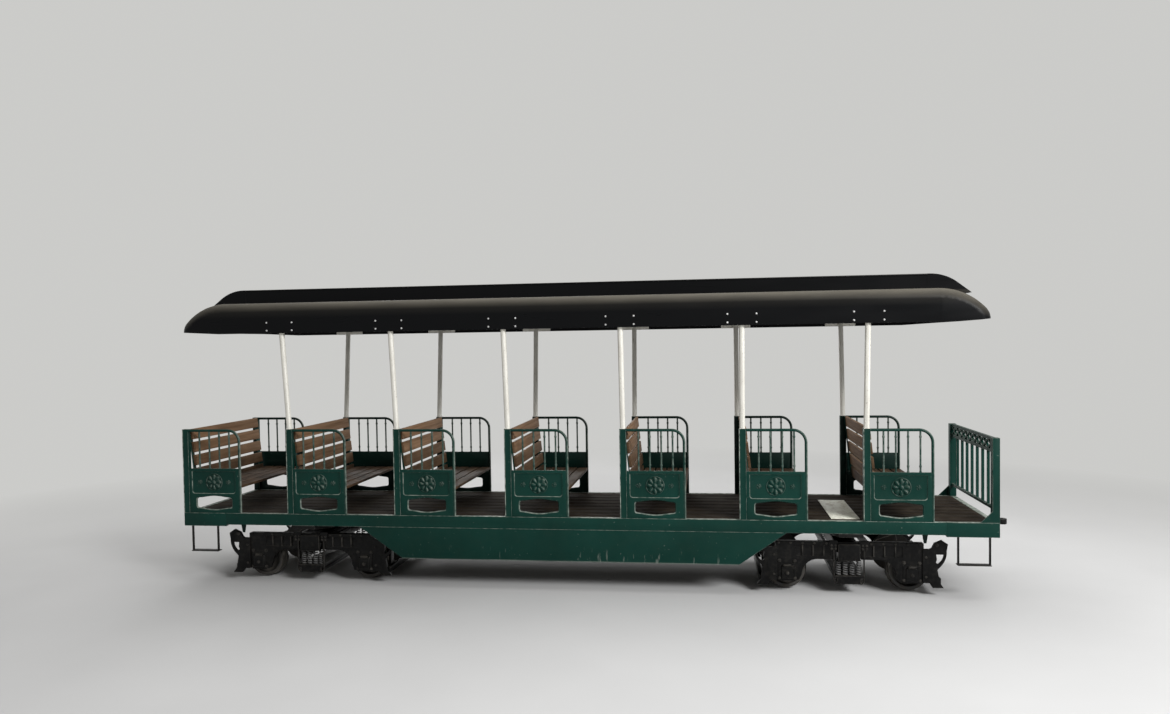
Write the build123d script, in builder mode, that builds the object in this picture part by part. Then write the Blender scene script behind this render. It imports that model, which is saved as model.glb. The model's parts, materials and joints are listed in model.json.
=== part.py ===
from build123d import *
from math import atan2, degrees, hypot, radians, tan
import os

os.makedirs("parts", exist_ok=True)

# Open bogie coach of a two-foot gauge park railway, in millimetres.
# X runs along the coach towards its front, Y across it, Z up from the bottoms of the wheel flanges.
# The near side is at -Y. Heights are measured from the rail top unless a name says otherwise.

# Wheels and gauge
gauge = 610
wheel_diameter = 300
flange_height = 14
flange_thickness = 18
flange_play = 4
tread_drop = 3
wheel_width = 80
wheel_plate = 18
rim_depth = 28
hub_diameter = 110
hub_proud = 6
axle_diameter = 60
journal_diameter = 44
rail_top = flange_height

# Body
bay_count = 7
bay_pitch = 915
post_width = 52
post_depth = 40
body_width = 1180
floor_height = 574
sill_height = 96
sill_flange = 40
sill_wall = 7
end_frame_height = 109
end_frame_length = 373
board_count = 8
board_gap = 3
board_thickness = 28
bearer_width = 60
centre_sill_width = 120
centre_sill_height = 58
centre_sill_wall = 6
bolster_half_depth = 90
bolster_middle_reach = 250
bolster_middle_height = 391
bolster_side_drop = 28
top_plate_thickness = 10
skirt_thickness = 6
skirt_top_length = 3394
skirt_bottom_length = 2675
skirt_drop = 252
tab_place = 2702
tab_top_width = 40
tab_low_width = 18
tab_drop = 63
tab_thickness = 12
cover_length = 212
cover_width = 780
cover_thickness = 6
cover_middle = (2140, -125)

# Side panels, measured from the left edge of the bay's post
panel_length = 510
panel_height = 697
rail_bar = 22
rail_corner = 106
plate_height = 370
plate_thickness = 8
plate_setback = 6
baluster_bar = 11
baluster_places = (147, 235, 323, 411)
collar_bar = 18
collar_height = 14
field_left = 76
field_right = 461
field_bottom = 161
field_top = 348
field_corner = 20
rim_width = 10
rim_proud = 4
slot_left = 118
slot_right = 427
slot_bottom = 30
slot_top = 142
slot_bow = 15

# Benches
slat_width = 89
slat_thickness = 22
back_slats = 5
back_pitch = 110
back_top = 1270
back_lean = 6
back_setback = 37
seat_slats = 4
seat_gap = 12
seat_height = 805
bench_bar = 6
bench_bar_width = 40
seat_bar_height = 25
seat_bar_width = 36
slat_end_gap = 12
seat_bar_start = 60

# Roof
eave_height = 2056
roof_half_width = 701
roof_half_length = 3186
crown_height = 2303
tip_rise = 18
tip_run = 330
roof_end_run = 325
tip_radius = 190
corner_half_length = 3142
corner_end_run = 372
corner_tip_radius = 110
shoulder_radius = 80
sheet = 5
deck_half_width = 300
deck_height = 2434
deck_straight = 2810
deck_end_radius = 330
deck_end_angle = 38
deck_overlap = 20
cap_joint = 2790
pipe_diameter = 42
pipe_top_height = 2136
pipe_foot_plate = 6
bracket_length = 260
bracket_height = 110
bracket_thickness = 6
bow_width = 40
bow_depth = 40

# Front platform
end_rail_height = 1200
end_band_height = 113
end_lower_rail = 675
end_bars = 7
end_bar = 11
gusset = 85
step_rod = 14
step_tread = 60
step_outer = 3171
step_inner = 2933
step_height = 252

# Drawbars
drawbar_height = 472
drawbar_reach = 235
drawbar_diameter = 36
drawbar_plate = 12
drawbar_pin = 26
pocket_width = 180
pocket_depth = 60
pocket_height = 90
pocket_plate = 140
eye_diameter = 76
eye_thickness = 40
collar_place = 90
collar_length = 20
collar_diameter = 60

# Trucks. Distances along X are measured from the truck's centre
truck_place = 2170
wheelbase = 924
frame_middle = 450
frame_thickness = 36
frame_reach = 550
frame_top = 386
frame_under = 254
frame_flange = 60
flange_bar = 16
pocket_start = 130
pocket_end = 400
frame_pocket = 12
window_width = 184
window_top = 310
arch_start = 228
arch_drop = 14
pedestal_inner = 352
pedestal_draft = 20
pedestal_outer = 587
pedestal_bottom = 90
box_wall = 7
journal_gap = 3
box_width = 126
box_height = 132
box_proud = 8
lid_width = 96
lid_height = 104
lid_proud = 14
lid_bevel = 30
cap_start = 84
cap_length = 62
cap_height = 60
cap_proud = 16
end_bracket_thickness = 28
bracket_strip = ((672, 236), (704, 290), (712, 350))
bracket_head = ((721, 401), (700, 414), (678, 430), (624, 406), (606, 368), (591, 360))
bracket_foot = ((540, 360), (540, 104), (587, 104), (612, 68), (691, 68))
bracket_waist = ((663, 108), (645, 206))
hole_curve = ((694, 322), (683, 280), (650, 246))
hole_back = ((634, 262), (641, 286), (636, 322))
transom_place = 160
transom_width = 24
transom_height = 60
transom_middle = 332
bolster_width = 162
bolster_bottom = 249
bolster_end = 500
bolster_end_height = 377
bolster_gap = 4
centre_plate_diameter = 220
centre_plate_thickness = 14
king_pin_diameter = 34
king_pin_length = 90
pivot_gap = 0.5
pin_gap = 0.5
strap_width = 234
strap_bottom = 67
strap_bar = 10
strap_depth = 15
strap_corner = 30
spring_seat = 131
spring_diameter = 44
spring_pitch = 51
springs_per_side = 4
spring_turns = 4
spring_sides = 8
spring_taper = 25
brake_gap = 5
shoe_thickness = 30
shoe_height = 150
shoe_width = 66
beam_width = 30
beam_height = 44
beam_middle = 98

# Places worked out from the sizes above
body_length = bay_count * bay_pitch + post_width
body_end = body_length / 2
body_side = body_width / 2
floor_top = rail_top + floor_height
sill_bottom = floor_top - sill_height
end_frame_bottom = floor_top - end_frame_height
board_bottom = floor_top - board_thickness
sill_run = body_end - end_frame_length
panel_top = floor_top + panel_height
axle_height = rail_top + wheel_diameter / 2
eave = rail_top + eave_height
crown = rail_top + crown_height
deck_top = rail_top + deck_height
post_edges = [bay * bay_pitch - body_end for bay in range(bay_count)]
post_middles = [edge + post_width / 2 for edge in post_edges]


def save(piece, name):
    piece.part.label = name
    export_step(piece.part, f"parts/{name}.step")


def elevation(x, y):
    """An upright plane seen from the near side, its origin at (x, y, 0)."""
    return Plane(origin=(x, y, 0), x_dir=(1, 0, 0), z_dir=(0, -1, 0))


# Side sills: channels with the web outside
with BuildPart() as side_sills:
    with BuildSketch(Plane.YZ.offset(-sill_run)):
        for side in (-1, 1):
            sill_middle = body_side - sill_flange / 2
            with Locations((side * sill_middle, sill_bottom + sill_height / 2)):
                Rectangle(sill_flange, sill_height)
            with Locations((side * (sill_middle - sill_wall), sill_bottom + sill_height / 2)):
                Rectangle(sill_flange, sill_height - 2 * sill_wall, mode=Mode.SUBTRACT)
    extrude(amount=2 * sill_run)
    # A small tapered tab hangs under each sill over the outer end of each truck
    for side in (-1, 1):
        with BuildSketch(elevation(0, side * body_side)):
            with BuildLine():
                Polyline(
                    (tab_place - tab_top_width / 2, sill_bottom),
                    (tab_place - tab_low_width / 2, sill_bottom - tab_drop),
                    (tab_place + tab_low_width / 2, sill_bottom - tab_drop),
                    (tab_place + tab_top_width / 2, sill_bottom),
                    close=True,
                )
            make_face()
            mirror(about=Plane.YZ)
        extrude(amount=side * tab_thickness)
save(side_sills, "side_sills")

# End frames: a deeper channel bent round each end of the body
with BuildPart() as end_frames:
    for end in (-1, 1):
        middle = end * (body_end - end_frame_length / 2)
        with BuildSketch(Plane.XY.offset(end_frame_bottom)):
            with Locations((middle, 0)):
                Rectangle(end_frame_length, body_width)
            with Locations((middle - end * sill_flange, 0)):
                Rectangle(end_frame_length, body_width - 2 * sill_flange, mode=Mode.SUBTRACT)
        extrude(amount=end_frame_height)
        with BuildSketch(Plane.XY.offset(end_frame_bottom + sill_wall)):
            with Locations((middle - end * sill_wall, 0)):
                Rectangle(end_frame_length, body_width - 2 * sill_wall)
        extrude(amount=end_frame_height - 2 * sill_wall, mode=Mode.SUBTRACT)
save(end_frames, "end_frames")

# Cross bearers under the floor boards, resting on the bottom flanges of the side sills
bearer_bottom = sill_bottom + sill_wall
with BuildPart() as cross_bearers:
    with BuildSketch(Plane.XY.offset(bearer_bottom)):
        with Locations([(edge + bay_pitch / 2, 0) for edge in post_edges[1:-1]]):
            Rectangle(bearer_width, body_width - 2 * sill_wall)
        with Locations((-truck_place, 0), (truck_place, 0)):
            Rectangle(bearer_width, body_width - 2 * sill_wall)
    extrude(amount=board_bottom - bearer_bottom)
save(cross_bearers, "cross_bearers")

# Centre sill: an inverted trough under the bearers from end frame to end frame
centre_sill_bottom = bearer_bottom - centre_sill_height
with BuildPart() as centre_sill:
    with BuildSketch(Plane.YZ.offset(-body_end + sill_wall)):
        with Locations((0, bearer_bottom - centre_sill_height / 2)):
            Rectangle(centre_sill_width, centre_sill_height)
        with Locations((0, bearer_bottom - centre_sill_wall - centre_sill_height / 2)):
            Rectangle(centre_sill_width - 2 * centre_sill_wall, centre_sill_height, mode=Mode.SUBTRACT)
    extrude(amount=body_length - 2 * sill_wall)
    with BuildSketch(Plane.XY.offset(end_frame_bottom)):
        for end in (-1, 1):
            with Locations((end * (body_end - sill_flange / 2), 0)):
                Rectangle(sill_flange, centre_sill_width)
    extrude(amount=sill_wall, mode=Mode.SUBTRACT)
save(centre_sill, "centre_sill")

# Body bolsters over the trucks, with the centre plate and the king pin
bolster_middle_bottom = rail_top + bolster_middle_height
bolster_side_bottom = sill_bottom - bolster_side_drop
plate_bottom = bolster_middle_bottom - top_plate_thickness
with BuildPart() as body_bolsters:
    for end in (-1, 1):
        with BuildSketch(Plane.YZ.offset(end * truck_place - bolster_half_depth)):
            with BuildLine():
                Polyline(
                    (-body_side, sill_bottom),
                    (-body_side, bolster_side_bottom),
                    (-bolster_middle_reach, bolster_middle_bottom),
                    (bolster_middle_reach, bolster_middle_bottom),
                    (body_side, bolster_side_bottom),
                    (body_side, sill_bottom),
                    close=True,
                )
            make_face()
            with Locations((0, centre_sill_bottom + centre_sill_height / 2)):
                Rectangle(centre_sill_width, centre_sill_height, mode=Mode.SUBTRACT)
        extrude(amount=2 * bolster_half_depth)
        with BuildSketch(Plane.XY.offset(bolster_middle_bottom)):
            with Locations((end * truck_place, 0)):
                Circle(centre_plate_diameter / 2)
        extrude(amount=plate_bottom - bolster_middle_bottom)
        with BuildSketch(Plane.XY.offset(plate_bottom)):
            with Locations((end * truck_place, 0)):
                Circle(king_pin_diameter / 2)
        extrude(amount=-king_pin_length)
save(body_bolsters, "body_bolsters")

# Floor boards, lengthwise between the sill flanges
board_space = body_width - 2 * sill_flange - 2 * board_gap
board_width = (board_space - (board_count - 1) * board_gap) / board_count
with BuildPart() as floor_boards:
    with BuildSketch(Plane.XY.offset(board_bottom)):
        with GridLocations(0, board_width + board_gap, 1, board_count):
            Rectangle(body_length - 2 * sill_flange - 2 * board_gap, board_width)
    extrude(amount=board_thickness)
save(floor_boards, "floor_boards")

# Fish-belly skirt sheets below the sills
with BuildPart() as side_skirts:
    for side in (-1, 1):
        with BuildSketch(Plane.XZ.offset(-side * body_side)):
            with BuildLine():
                Polyline(
                    (-skirt_top_length / 2, sill_bottom),
                    (-skirt_bottom_length / 2, sill_bottom - skirt_drop),
                    (skirt_bottom_length / 2, sill_bottom - skirt_drop),
                    (skirt_top_length / 2, sill_bottom),
                    close=True,
                )
            make_face()
        extrude(amount=side * skirt_thickness)
save(side_skirts, "side_skirts")

# Loose cover plate on the floor, over the front king pin
with BuildPart() as cover_plate:
    with BuildSketch(Plane.XY.offset(floor_top)):
        with Locations(cover_middle):
            Rectangle(cover_length, cover_width)
    extrude(amount=cover_thickness)
save(cover_plate, "cover_plate")


def side_panel(edge):
    """One near side panel whose post has its left edge at x = edge."""
    tube_left = edge + panel_length - rail_bar
    plate_middle = edge + (post_width + panel_length - rail_bar) / 2
    with BuildPart() as panel:
        # Post and arched rail
        with BuildSketch(Plane.XY.offset(floor_top)):
            with Locations((edge + post_width / 2, -body_side + post_depth / 2)):
                Rectangle(post_width, post_depth)
        extrude(amount=panel_height)
        with BuildSketch(Plane.XZ.offset(body_side - 1)):
            with BuildLine():
                outer = FilletPolyline(
                    (edge + post_width, panel_top),
                    (edge + panel_length, panel_top),
                    (edge + panel_length, floor_top),
                    radius=rail_corner,
                )
                Line(outer @ 1, (tube_left, floor_top))
                inner = FilletPolyline(
                    (tube_left, floor_top),
                    (tube_left, panel_top - rail_bar),
                    (edge + post_width, panel_top - rail_bar),
                    radius=rail_corner - rail_bar,
                )
                Line(inner @ 1, outer @ 0)
            make_face()
        extrude(amount=-rail_bar)
        # Plate with its slot
        with BuildSketch(Plane.XZ.offset(body_side - plate_setback)):
            with Locations((plate_middle, floor_top + plate_height / 2)):
                Rectangle(tube_left - edge - post_width, plate_height)
            with BuildLine():
                low = floor_top + slot_bottom
                high = floor_top + slot_top
                middle = edge + (slot_left + slot_right) / 2
                ThreePointArc(
                    (edge + slot_left, high - slot_bow), (middle, high), (edge + slot_right, high - slot_bow)
                )
                Line((edge + slot_right, high - slot_bow), (edge + slot_right, low + slot_bow))
                ThreePointArc(
                    (edge + slot_right, low + slot_bow), (middle, low), (edge + slot_left, low + slot_bow)
                )
                Line((edge + slot_left, low + slot_bow), (edge + slot_left, high - slot_bow))
            make_face(mode=Mode.SUBTRACT)
        extrude(amount=-plate_thickness)
        # Rim of the sunk field, with its lower corners cut
        with BuildSketch(Plane.XZ.offset(body_side - plate_setback)):
            for inset, mode in ((0, Mode.ADD), (rim_width, Mode.SUBTRACT)):
                left = edge + field_left + inset
                right = edge + field_right - inset
                low = floor_top + field_bottom + inset
                high = floor_top + field_top - inset
                cut = field_corner - inset
                with BuildLine():
                    Polyline(
                        (left, high), (left, low + cut), (left + cut, low),
                        (right - cut, low), (right, low + cut), (right, high),
                        close=True,
                    )
                make_face(mode=mode)
        extrude(amount=rim_proud)
        # Balusters and their collars
        bar_bottom = floor_top + plate_height
        bar_top = panel_top - rail_bar
        with BuildSketch(Plane.XY.offset(bar_bottom)):
            with Locations([(edge + place, -body_side + 1 + rail_bar / 2) for place in baluster_places]):
                Rectangle(baluster_bar, baluster_bar)
        extrude(amount=bar_top - bar_bottom + rail_bar / 4)
        with BuildSketch(Plane.XY.offset(bar_top - 2 * collar_height)):
            with Locations([(edge + place, -body_side + 1 + rail_bar / 2) for place in baluster_places]):
                Rectangle(collar_bar, collar_bar)
        extrude(amount=collar_height)
    return panel


# Side panels: the far row mirrors the near one
for bay, edge in enumerate(post_edges, start=1):
    near_panel = side_panel(edge)
    save(near_panel, f"side_panel_near_{bay}")
    with BuildPart() as far_panel:
        mirror(near_panel.part, about=Plane.XZ)
    save(far_panel, f"side_panel_far_{bay}")

# Benches: raked back slats and flat seat slats between the panels
back_slat_length = body_width - 2 * post_depth - 2 * slat_end_gap
seat_slat_length = 2 * (body_side - plate_setback - plate_thickness - slat_end_gap)
back_height = (back_slats - 1) * back_pitch + slat_width
back_middle_height = rail_top + back_top - back_height / 2
back_offset = back_setback + (back_height / 2) * tan(radians(back_lean))
seat_depth = seat_slats * slat_width + (seat_slats - 1) * seat_gap
seat_bottom = rail_top + seat_height - slat_thickness
for bay, edge in enumerate(post_edges, start=1):
    back_plane = Plane(
        origin=(edge + back_offset, 0, back_middle_height),
        x_dir=(0, 1, 0),
        z_dir=(1, 0, tan(radians(back_lean))),
    )
    with BuildPart() as bench:
        with BuildSketch(back_plane):
            with GridLocations(0, back_pitch, 1, back_slats):
                Rectangle(back_slat_length, slat_width)
        extrude(amount=slat_thickness)
        with BuildSketch(Plane.XY.offset(seat_bottom)):
            with Locations((edge + panel_length - seat_depth / 2, 0)):
                with GridLocations(slat_width + seat_gap, 0, seat_slats, 1):
                    Rectangle(slat_width, seat_slat_length)
        extrude(amount=slat_thickness)
    save(bench, f"bench_{bay}")

# Bench frames: a seat bar on the inner face of each plate, with a raked bar behind the back
plate_inner = body_side - plate_setback - plate_thickness
seat_bar_end = panel_length - rail_bar
seat_bar_middle = (seat_bar_start + seat_bar_end) / 2
with BuildPart() as bench_frames:
    for edge in post_edges:
        back_plane = Plane(
            origin=(edge + back_offset, 0, back_middle_height),
            x_dir=(0, 1, 0),
            z_dir=(1, 0, tan(radians(back_lean))),
        )
        for side in (-1, 1):
            with BuildSketch(back_plane):
                with Locations((side * (body_side - post_depth - bench_bar_width / 2), 0)):
                    Rectangle(bench_bar_width, back_height)
            extrude(amount=-bench_bar)
            with BuildSketch(Plane.XY.offset(seat_bottom)):
                with Locations((edge + seat_bar_middle, side * (plate_inner - seat_bar_width / 2))):
                    Rectangle(seat_bar_end - seat_bar_start, seat_bar_width)
            extrude(amount=-seat_bar_height)
save(bench_frames, "bench_frames")

# Roof pipes: each stands on a panel post and leans out to a bracket inside the eave
pipe_foot = body_side - post_depth / 2
pipe_head = roof_half_width - sheet - bracket_thickness - pipe_diameter / 2
pipe_rise = rail_top + pipe_top_height - panel_top
pipe_lean = pipe_head - pipe_foot
bracket_bottom = eave + 2
with BuildPart() as roof_pipes:
    for side in (-1, 1):
        for middle in post_middles[1:]:
            with BuildSketch(Plane.XY.offset(panel_top)):
                with Locations((middle, side * pipe_foot)):
                    Rectangle(pipe_diameter, post_depth - 2)
            extrude(amount=pipe_foot_plate)
            lean = Plane(
                origin=(middle, side * pipe_foot, panel_top + pipe_foot_plate / 2),
                z_dir=(0, side * pipe_lean, pipe_rise),
            )
            with BuildSketch(lean):
                Circle(pipe_diameter / 2)
            extrude(amount=hypot(pipe_rise, pipe_lean) - pipe_foot_plate)
            with BuildSketch(Plane.XY.offset(bracket_bottom)):
                with Locations((middle, side * (roof_half_width - sheet - bracket_thickness / 2))):
                    Rectangle(bracket_length, bracket_thickness)
                with Locations((middle, side * (pipe_head + pipe_diameter / 4))):
                    Rectangle(bracket_thickness, pipe_diameter / 2 + 2)
            extrude(amount=bracket_height)
save(roof_pipes, "roof_pipes")


def roof_profile(inset, half_length, end_run, nose_radius):
    """Side elevation of the lower roof: flat crown, two tangent arcs to each tip."""
    top = crown - inset
    rise = crown_height - eave_height - tip_rise
    large = ((end_run - nose_radius) ** 2 + rise**2 - nose_radius**2) / (2 * (rise - nose_radius))
    turn = degrees(atan2(end_run - nose_radius, large - rise))
    with BuildLine() as outline:
        crown_line = Line((0, top), (half_length - end_run, top))
        shoulder = JernArc(crown_line @ 1, (1, 0), large - inset, -turn)
        nose = JernArc(shoulder @ 1, shoulder % 1, nose_radius - inset, -(90 - turn))
        if inset:
            low = Line(nose @ 1, (half_length - inset, eave - tip_run))
            Line(low @ 1, (0, eave - tip_run))
        else:
            low = Line(nose @ 1, (half_length - tip_run, eave))
            Line(low @ 1, (0, eave))
        mirror(about=Plane.YZ)
    return outline


def deck_profile(inset):
    """Side elevation of the raised deck: flat top, an arc and a straight run down at each end."""
    top = deck_top - inset
    low = crown - deck_overlap - inset
    with BuildLine() as outline:
        flat = Line((0, top), (deck_straight, top))
        bend = JernArc(flat @ 1, (1, 0), deck_end_radius - inset, -deck_end_angle)
        drop = (bend @ 1).Y - low
        run = drop / tan(radians(deck_end_angle))
        slope = Line(bend @ 1, ((bend @ 1).X + run, low))
        Line(slope @ 1, (0, low))
        mirror(about=Plane.YZ)
    return outline


def roof_block(inset):
    """The closed form of the whole roof, taken in by the given distance."""
    middle = roof_profile(inset, roof_half_length, roof_end_run, tip_radius).line
    corner = roof_profile(inset, corner_half_length, corner_end_run, corner_tip_radius).line
    with BuildPart() as block:
        with BuildSketch(Plane.XZ):
            add(middle)
            make_face()
        extrude(amount=deck_half_width, both=True)
        for side in (-1, 1):
            with BuildSketch(Plane.XZ.offset(side * deck_half_width)):
                add(middle)
                make_face()
            with BuildSketch(Plane.XZ.offset(side * (roof_half_width - inset))):
                add(corner)
                make_face()
            loft(ruled=True)
        edges = block.edges().filter_by_position(Axis.Z, eave + tip_rise - 1, crown + 1)
        side_edges = [edge for edge in edges if abs(edge.center().Y) > roof_half_width - inset - 1]
        shoulder_edges = [edge for edge in side_edges if edge.center().Z > eave + tip_rise + 1]
        fillet(shoulder_edges, shoulder_radius - inset)
        with BuildSketch(Plane.XZ):
            add(deck_profile(inset).line)
            make_face()
        extrude(amount=deck_half_width - inset, both=True)
    return block.part


# Roof shell, then cut along its real seams into side sheets, deck and end caps
with BuildPart() as roof_shell:
    add(roof_block(0))
    add(roof_block(sheet), mode=Mode.SUBTRACT)

far_away = 3 * roof_half_length
with BuildPart() as roof_sides:
    add(roof_shell.part)
    Box(far_away, 2 * deck_half_width, far_away, mode=Mode.SUBTRACT)
    with Locations((-cap_joint - far_away / 2, 0), (cap_joint + far_away / 2, 0)):
        Box(far_away, far_away, far_away, mode=Mode.SUBTRACT)
save(roof_sides, "roof_sides")

with BuildPart() as roof_deck:
    add(roof_shell.part)
    with Locations((0, -deck_half_width - far_away / 2), (0, deck_half_width + far_away / 2)):
        Box(far_away, far_away, far_away, mode=Mode.SUBTRACT)
    with Locations((-cap_joint - far_away / 2, 0), (cap_joint + far_away / 2, 0)):
        Box(far_away, far_away, far_away, mode=Mode.SUBTRACT)
save(roof_deck, "roof_deck")

with BuildPart() as roof_caps:
    add(roof_shell.part)
    Box(2 * cap_joint, far_away, far_away, mode=Mode.SUBTRACT)
save(roof_caps, "roof_caps")

# Roof bows: a cross bar under the crown at each pair of pipes, with legs down to the brackets
bow_top = crown - sheet
bow_reach = roof_half_width - shoulder_radius
leg_outer = roof_half_width - sheet - bracket_thickness
leg_inner = leg_outer - pipe_diameter / 2
leg_bottom = bracket_bottom + bracket_height
with BuildPart() as roof_bows:
    for middle in post_middles[1:]:
        with BuildSketch(Plane.YZ.offset(middle - bow_width / 2)):
            with BuildLine():
                Polyline(
                    (0, bow_top),
                    (bow_reach, bow_top),
                    (leg_outer, bow_top - shoulder_radius),
                    (leg_outer, leg_bottom),
                    (leg_inner, leg_bottom),
                    (bow_reach - bow_depth / 2, bow_top - bow_depth),
                    (0, bow_top - bow_depth),
                )
                mirror(about=Plane.YZ)
            make_face()
        extrude(amount=bow_width)
save(roof_bows, "roof_bows")

# End rail of the front platform
rail_x = body_end - post_width / 2
end_rail_z = rail_top + end_rail_height
band_bottom = end_rail_z - end_band_height
lower_rail_z = rail_top + end_lower_rail
rail_span = body_width - 2 * post_width
bar_step = rail_span / (end_bars + 1)
band_count = 9
band_step = rail_span / band_count
band_clear = end_band_height - 2 * rail_bar
brace_angle = degrees(atan2(band_clear, band_step))
brace_length = hypot(band_clear, band_step)
with BuildPart() as end_rail:
    with BuildSketch(Plane.XY.offset(floor_top)):
        with Locations((rail_x, -body_side + post_width / 2), (rail_x, body_side - post_width / 2)):
            Rectangle(post_width, post_width)
    extrude(amount=end_rail_z - floor_top)
    with BuildSketch(Plane.YZ.offset(rail_x - rail_bar / 2)):
        for height in (end_rail_z - rail_bar / 2, band_bottom + rail_bar / 2, lower_rail_z):
            with Locations((0, height)):
                Rectangle(rail_span, rail_bar)
        with Locations((0, (end_rail_z + band_bottom) / 2)):
            with GridLocations(band_step, 0, band_count, 1):
                Rectangle(brace_length, end_bar, rotation=brace_angle)
                Rectangle(brace_length, end_bar, rotation=-brace_angle)
        with Locations((0, (band_bottom + lower_rail_z) / 2)):
            with GridLocations(bar_step, 0, end_bars, 1):
                Rectangle(end_bar, band_bottom - lower_rail_z)
    extrude(amount=rail_bar)
    gusset_foot = rail_x - post_width / 2
    for side in (-1, 1):
        with BuildSketch(Plane.XZ.offset(-side * body_side)):
            with BuildLine():
                Polyline(
                    (gusset_foot, floor_top),
                    (gusset_foot - gusset, floor_top),
                    (gusset_foot, floor_top + gusset),
                    close=True,
                )
            make_face()
        extrude(amount=side * plate_thickness)
save(end_rail, "end_rail")

# Stirrup steps: two rods and a tread under each corner of the body
step_middle = (step_outer + step_inner) / 2
step_length = step_outer - step_inner
step_bottom = rail_top + step_height
with BuildPart() as stirrup_steps:
    for end in (-1, 1):
        for side in (-1, 1):
            with BuildSketch(Plane.XY.offset(step_bottom)):
                with Locations((end * step_middle, side * (body_side - sill_flange / 2))):
                    with GridLocations(step_length - step_rod, 0, 2, 1):
                        Rectangle(step_rod, step_rod)
            extrude(amount=end_frame_bottom - step_bottom)
            with BuildSketch(Plane.XY.offset(step_bottom)):
                with Locations((end * step_middle, side * (body_side - step_tread / 2))):
                    Rectangle(step_length, step_tread)
            extrude(amount=step_rod / 2)
save(stirrup_steps, "stirrup_steps")

# Drawbars: a pocket plate on the end frame and a bar with an eye for the coupling pin
drawbar_z = rail_top + drawbar_height
eye_place = drawbar_reach - eye_diameter / 2
with BuildPart() as drawbars:
    for end in (-1, 1):
        face = end * body_end
        with BuildSketch(Plane.YZ.offset(face)):
            with Locations((0, floor_top - pocket_plate / 2 - sill_wall)):
                Rectangle(pocket_width, pocket_plate)
        extrude(amount=end * drawbar_plate)
        with BuildSketch(Plane.YZ.offset(face)):
            with Locations((0, drawbar_z)):
                Rectangle(pocket_width / 2, pocket_height)
        extrude(amount=end * pocket_depth)
        with BuildSketch(Plane.YZ.offset(face)):
            with Locations((0, drawbar_z)):
                Circle(drawbar_diameter / 2)
        extrude(amount=end * eye_place)
        with BuildSketch(Plane.YZ.offset(face + end * collar_place)):
            with Locations((0, drawbar_z)):
                Circle(collar_diameter / 2)
        extrude(amount=end * collar_length)
        with BuildSketch(Plane.XY.offset(drawbar_z - eye_thickness / 2)):
            with Locations((face + end * eye_place, 0)):
                Circle(eye_diameter / 2)
        extrude(amount=eye_thickness)
        with BuildSketch(Plane.XY.offset(drawbar_z - eye_thickness)):
            with Locations((face + end * eye_place, 0)):
                Circle(drawbar_pin / 2)
        extrude(amount=2 * eye_thickness, mode=Mode.SUBTRACT)
save(drawbars, "drawbars")

# Trucks
frame_outer = frame_middle + frame_thickness / 2
frame_inner = frame_middle - frame_thickness / 2
frame_top_z = rail_top + frame_top
frame_under_z = rail_top + frame_under
frame_height = frame_top - frame_under
window_top_z = rail_top + window_top
pedestal_bottom_z = rail_top + pedestal_bottom
cap_bottom_z = frame_top_z + flange_bar - cap_height
half_base = wheelbase / 2
strap_bottom_z = rail_top + strap_bottom
spring_seat_z = rail_top + spring_seat
bolster_bottom_z = rail_top + bolster_bottom
truck_ends = (("front", 1), ("rear", -1))

# One coil spring as a stack of octagonal turns, standing on z = 0 at the origin
turn_height = (bolster_bottom_z - spring_seat_z) / spring_turns
with BuildPart() as spring:
    for turn in range(spring_turns):
        with BuildSketch(Plane.XY.offset((turn + 0.5) * turn_height)):
            RegularPolygon(spring_diameter / 2, spring_sides)
        extrude(amount=turn_height / 2, both=True, taper=spring_taper)


def pedestal():
    """The leg that holds one axle box, with its arch towards the springs."""
    with BuildLine() as outline:
        arch = TangentArc((arch_start, frame_under_z), (pedestal_inner, axle_height - arch_drop), tangent=(1, 0))
        Polyline(
            arch @ 1,
            (pedestal_inner + pedestal_draft, pedestal_bottom_z),
            (pedestal_outer, pedestal_bottom_z),
            (pedestal_outer, frame_under_z),
            arch @ 0,
        )
    return outline.line


def end_bracket():
    """The bracket at one end of a side frame: a foot, a waist, a head with a knob."""
    with BuildLine() as outline:
        strip = ThreePointArc(*bracket_strip)
        head = Polyline(strip @ 1, *bracket_head)
        foot = Polyline(head @ 1, *bracket_foot)
        Polyline(foot @ 1, *bracket_waist, strip @ 0)
    return outline.line


def bracket_hole():
    """The D-shaped hole under the bracket's head."""
    with BuildLine() as outline:
        curve = ThreePointArc(*hole_curve)
        Polyline(curve @ 1, *hole_back, curve @ 0)
    return outline.line


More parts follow.
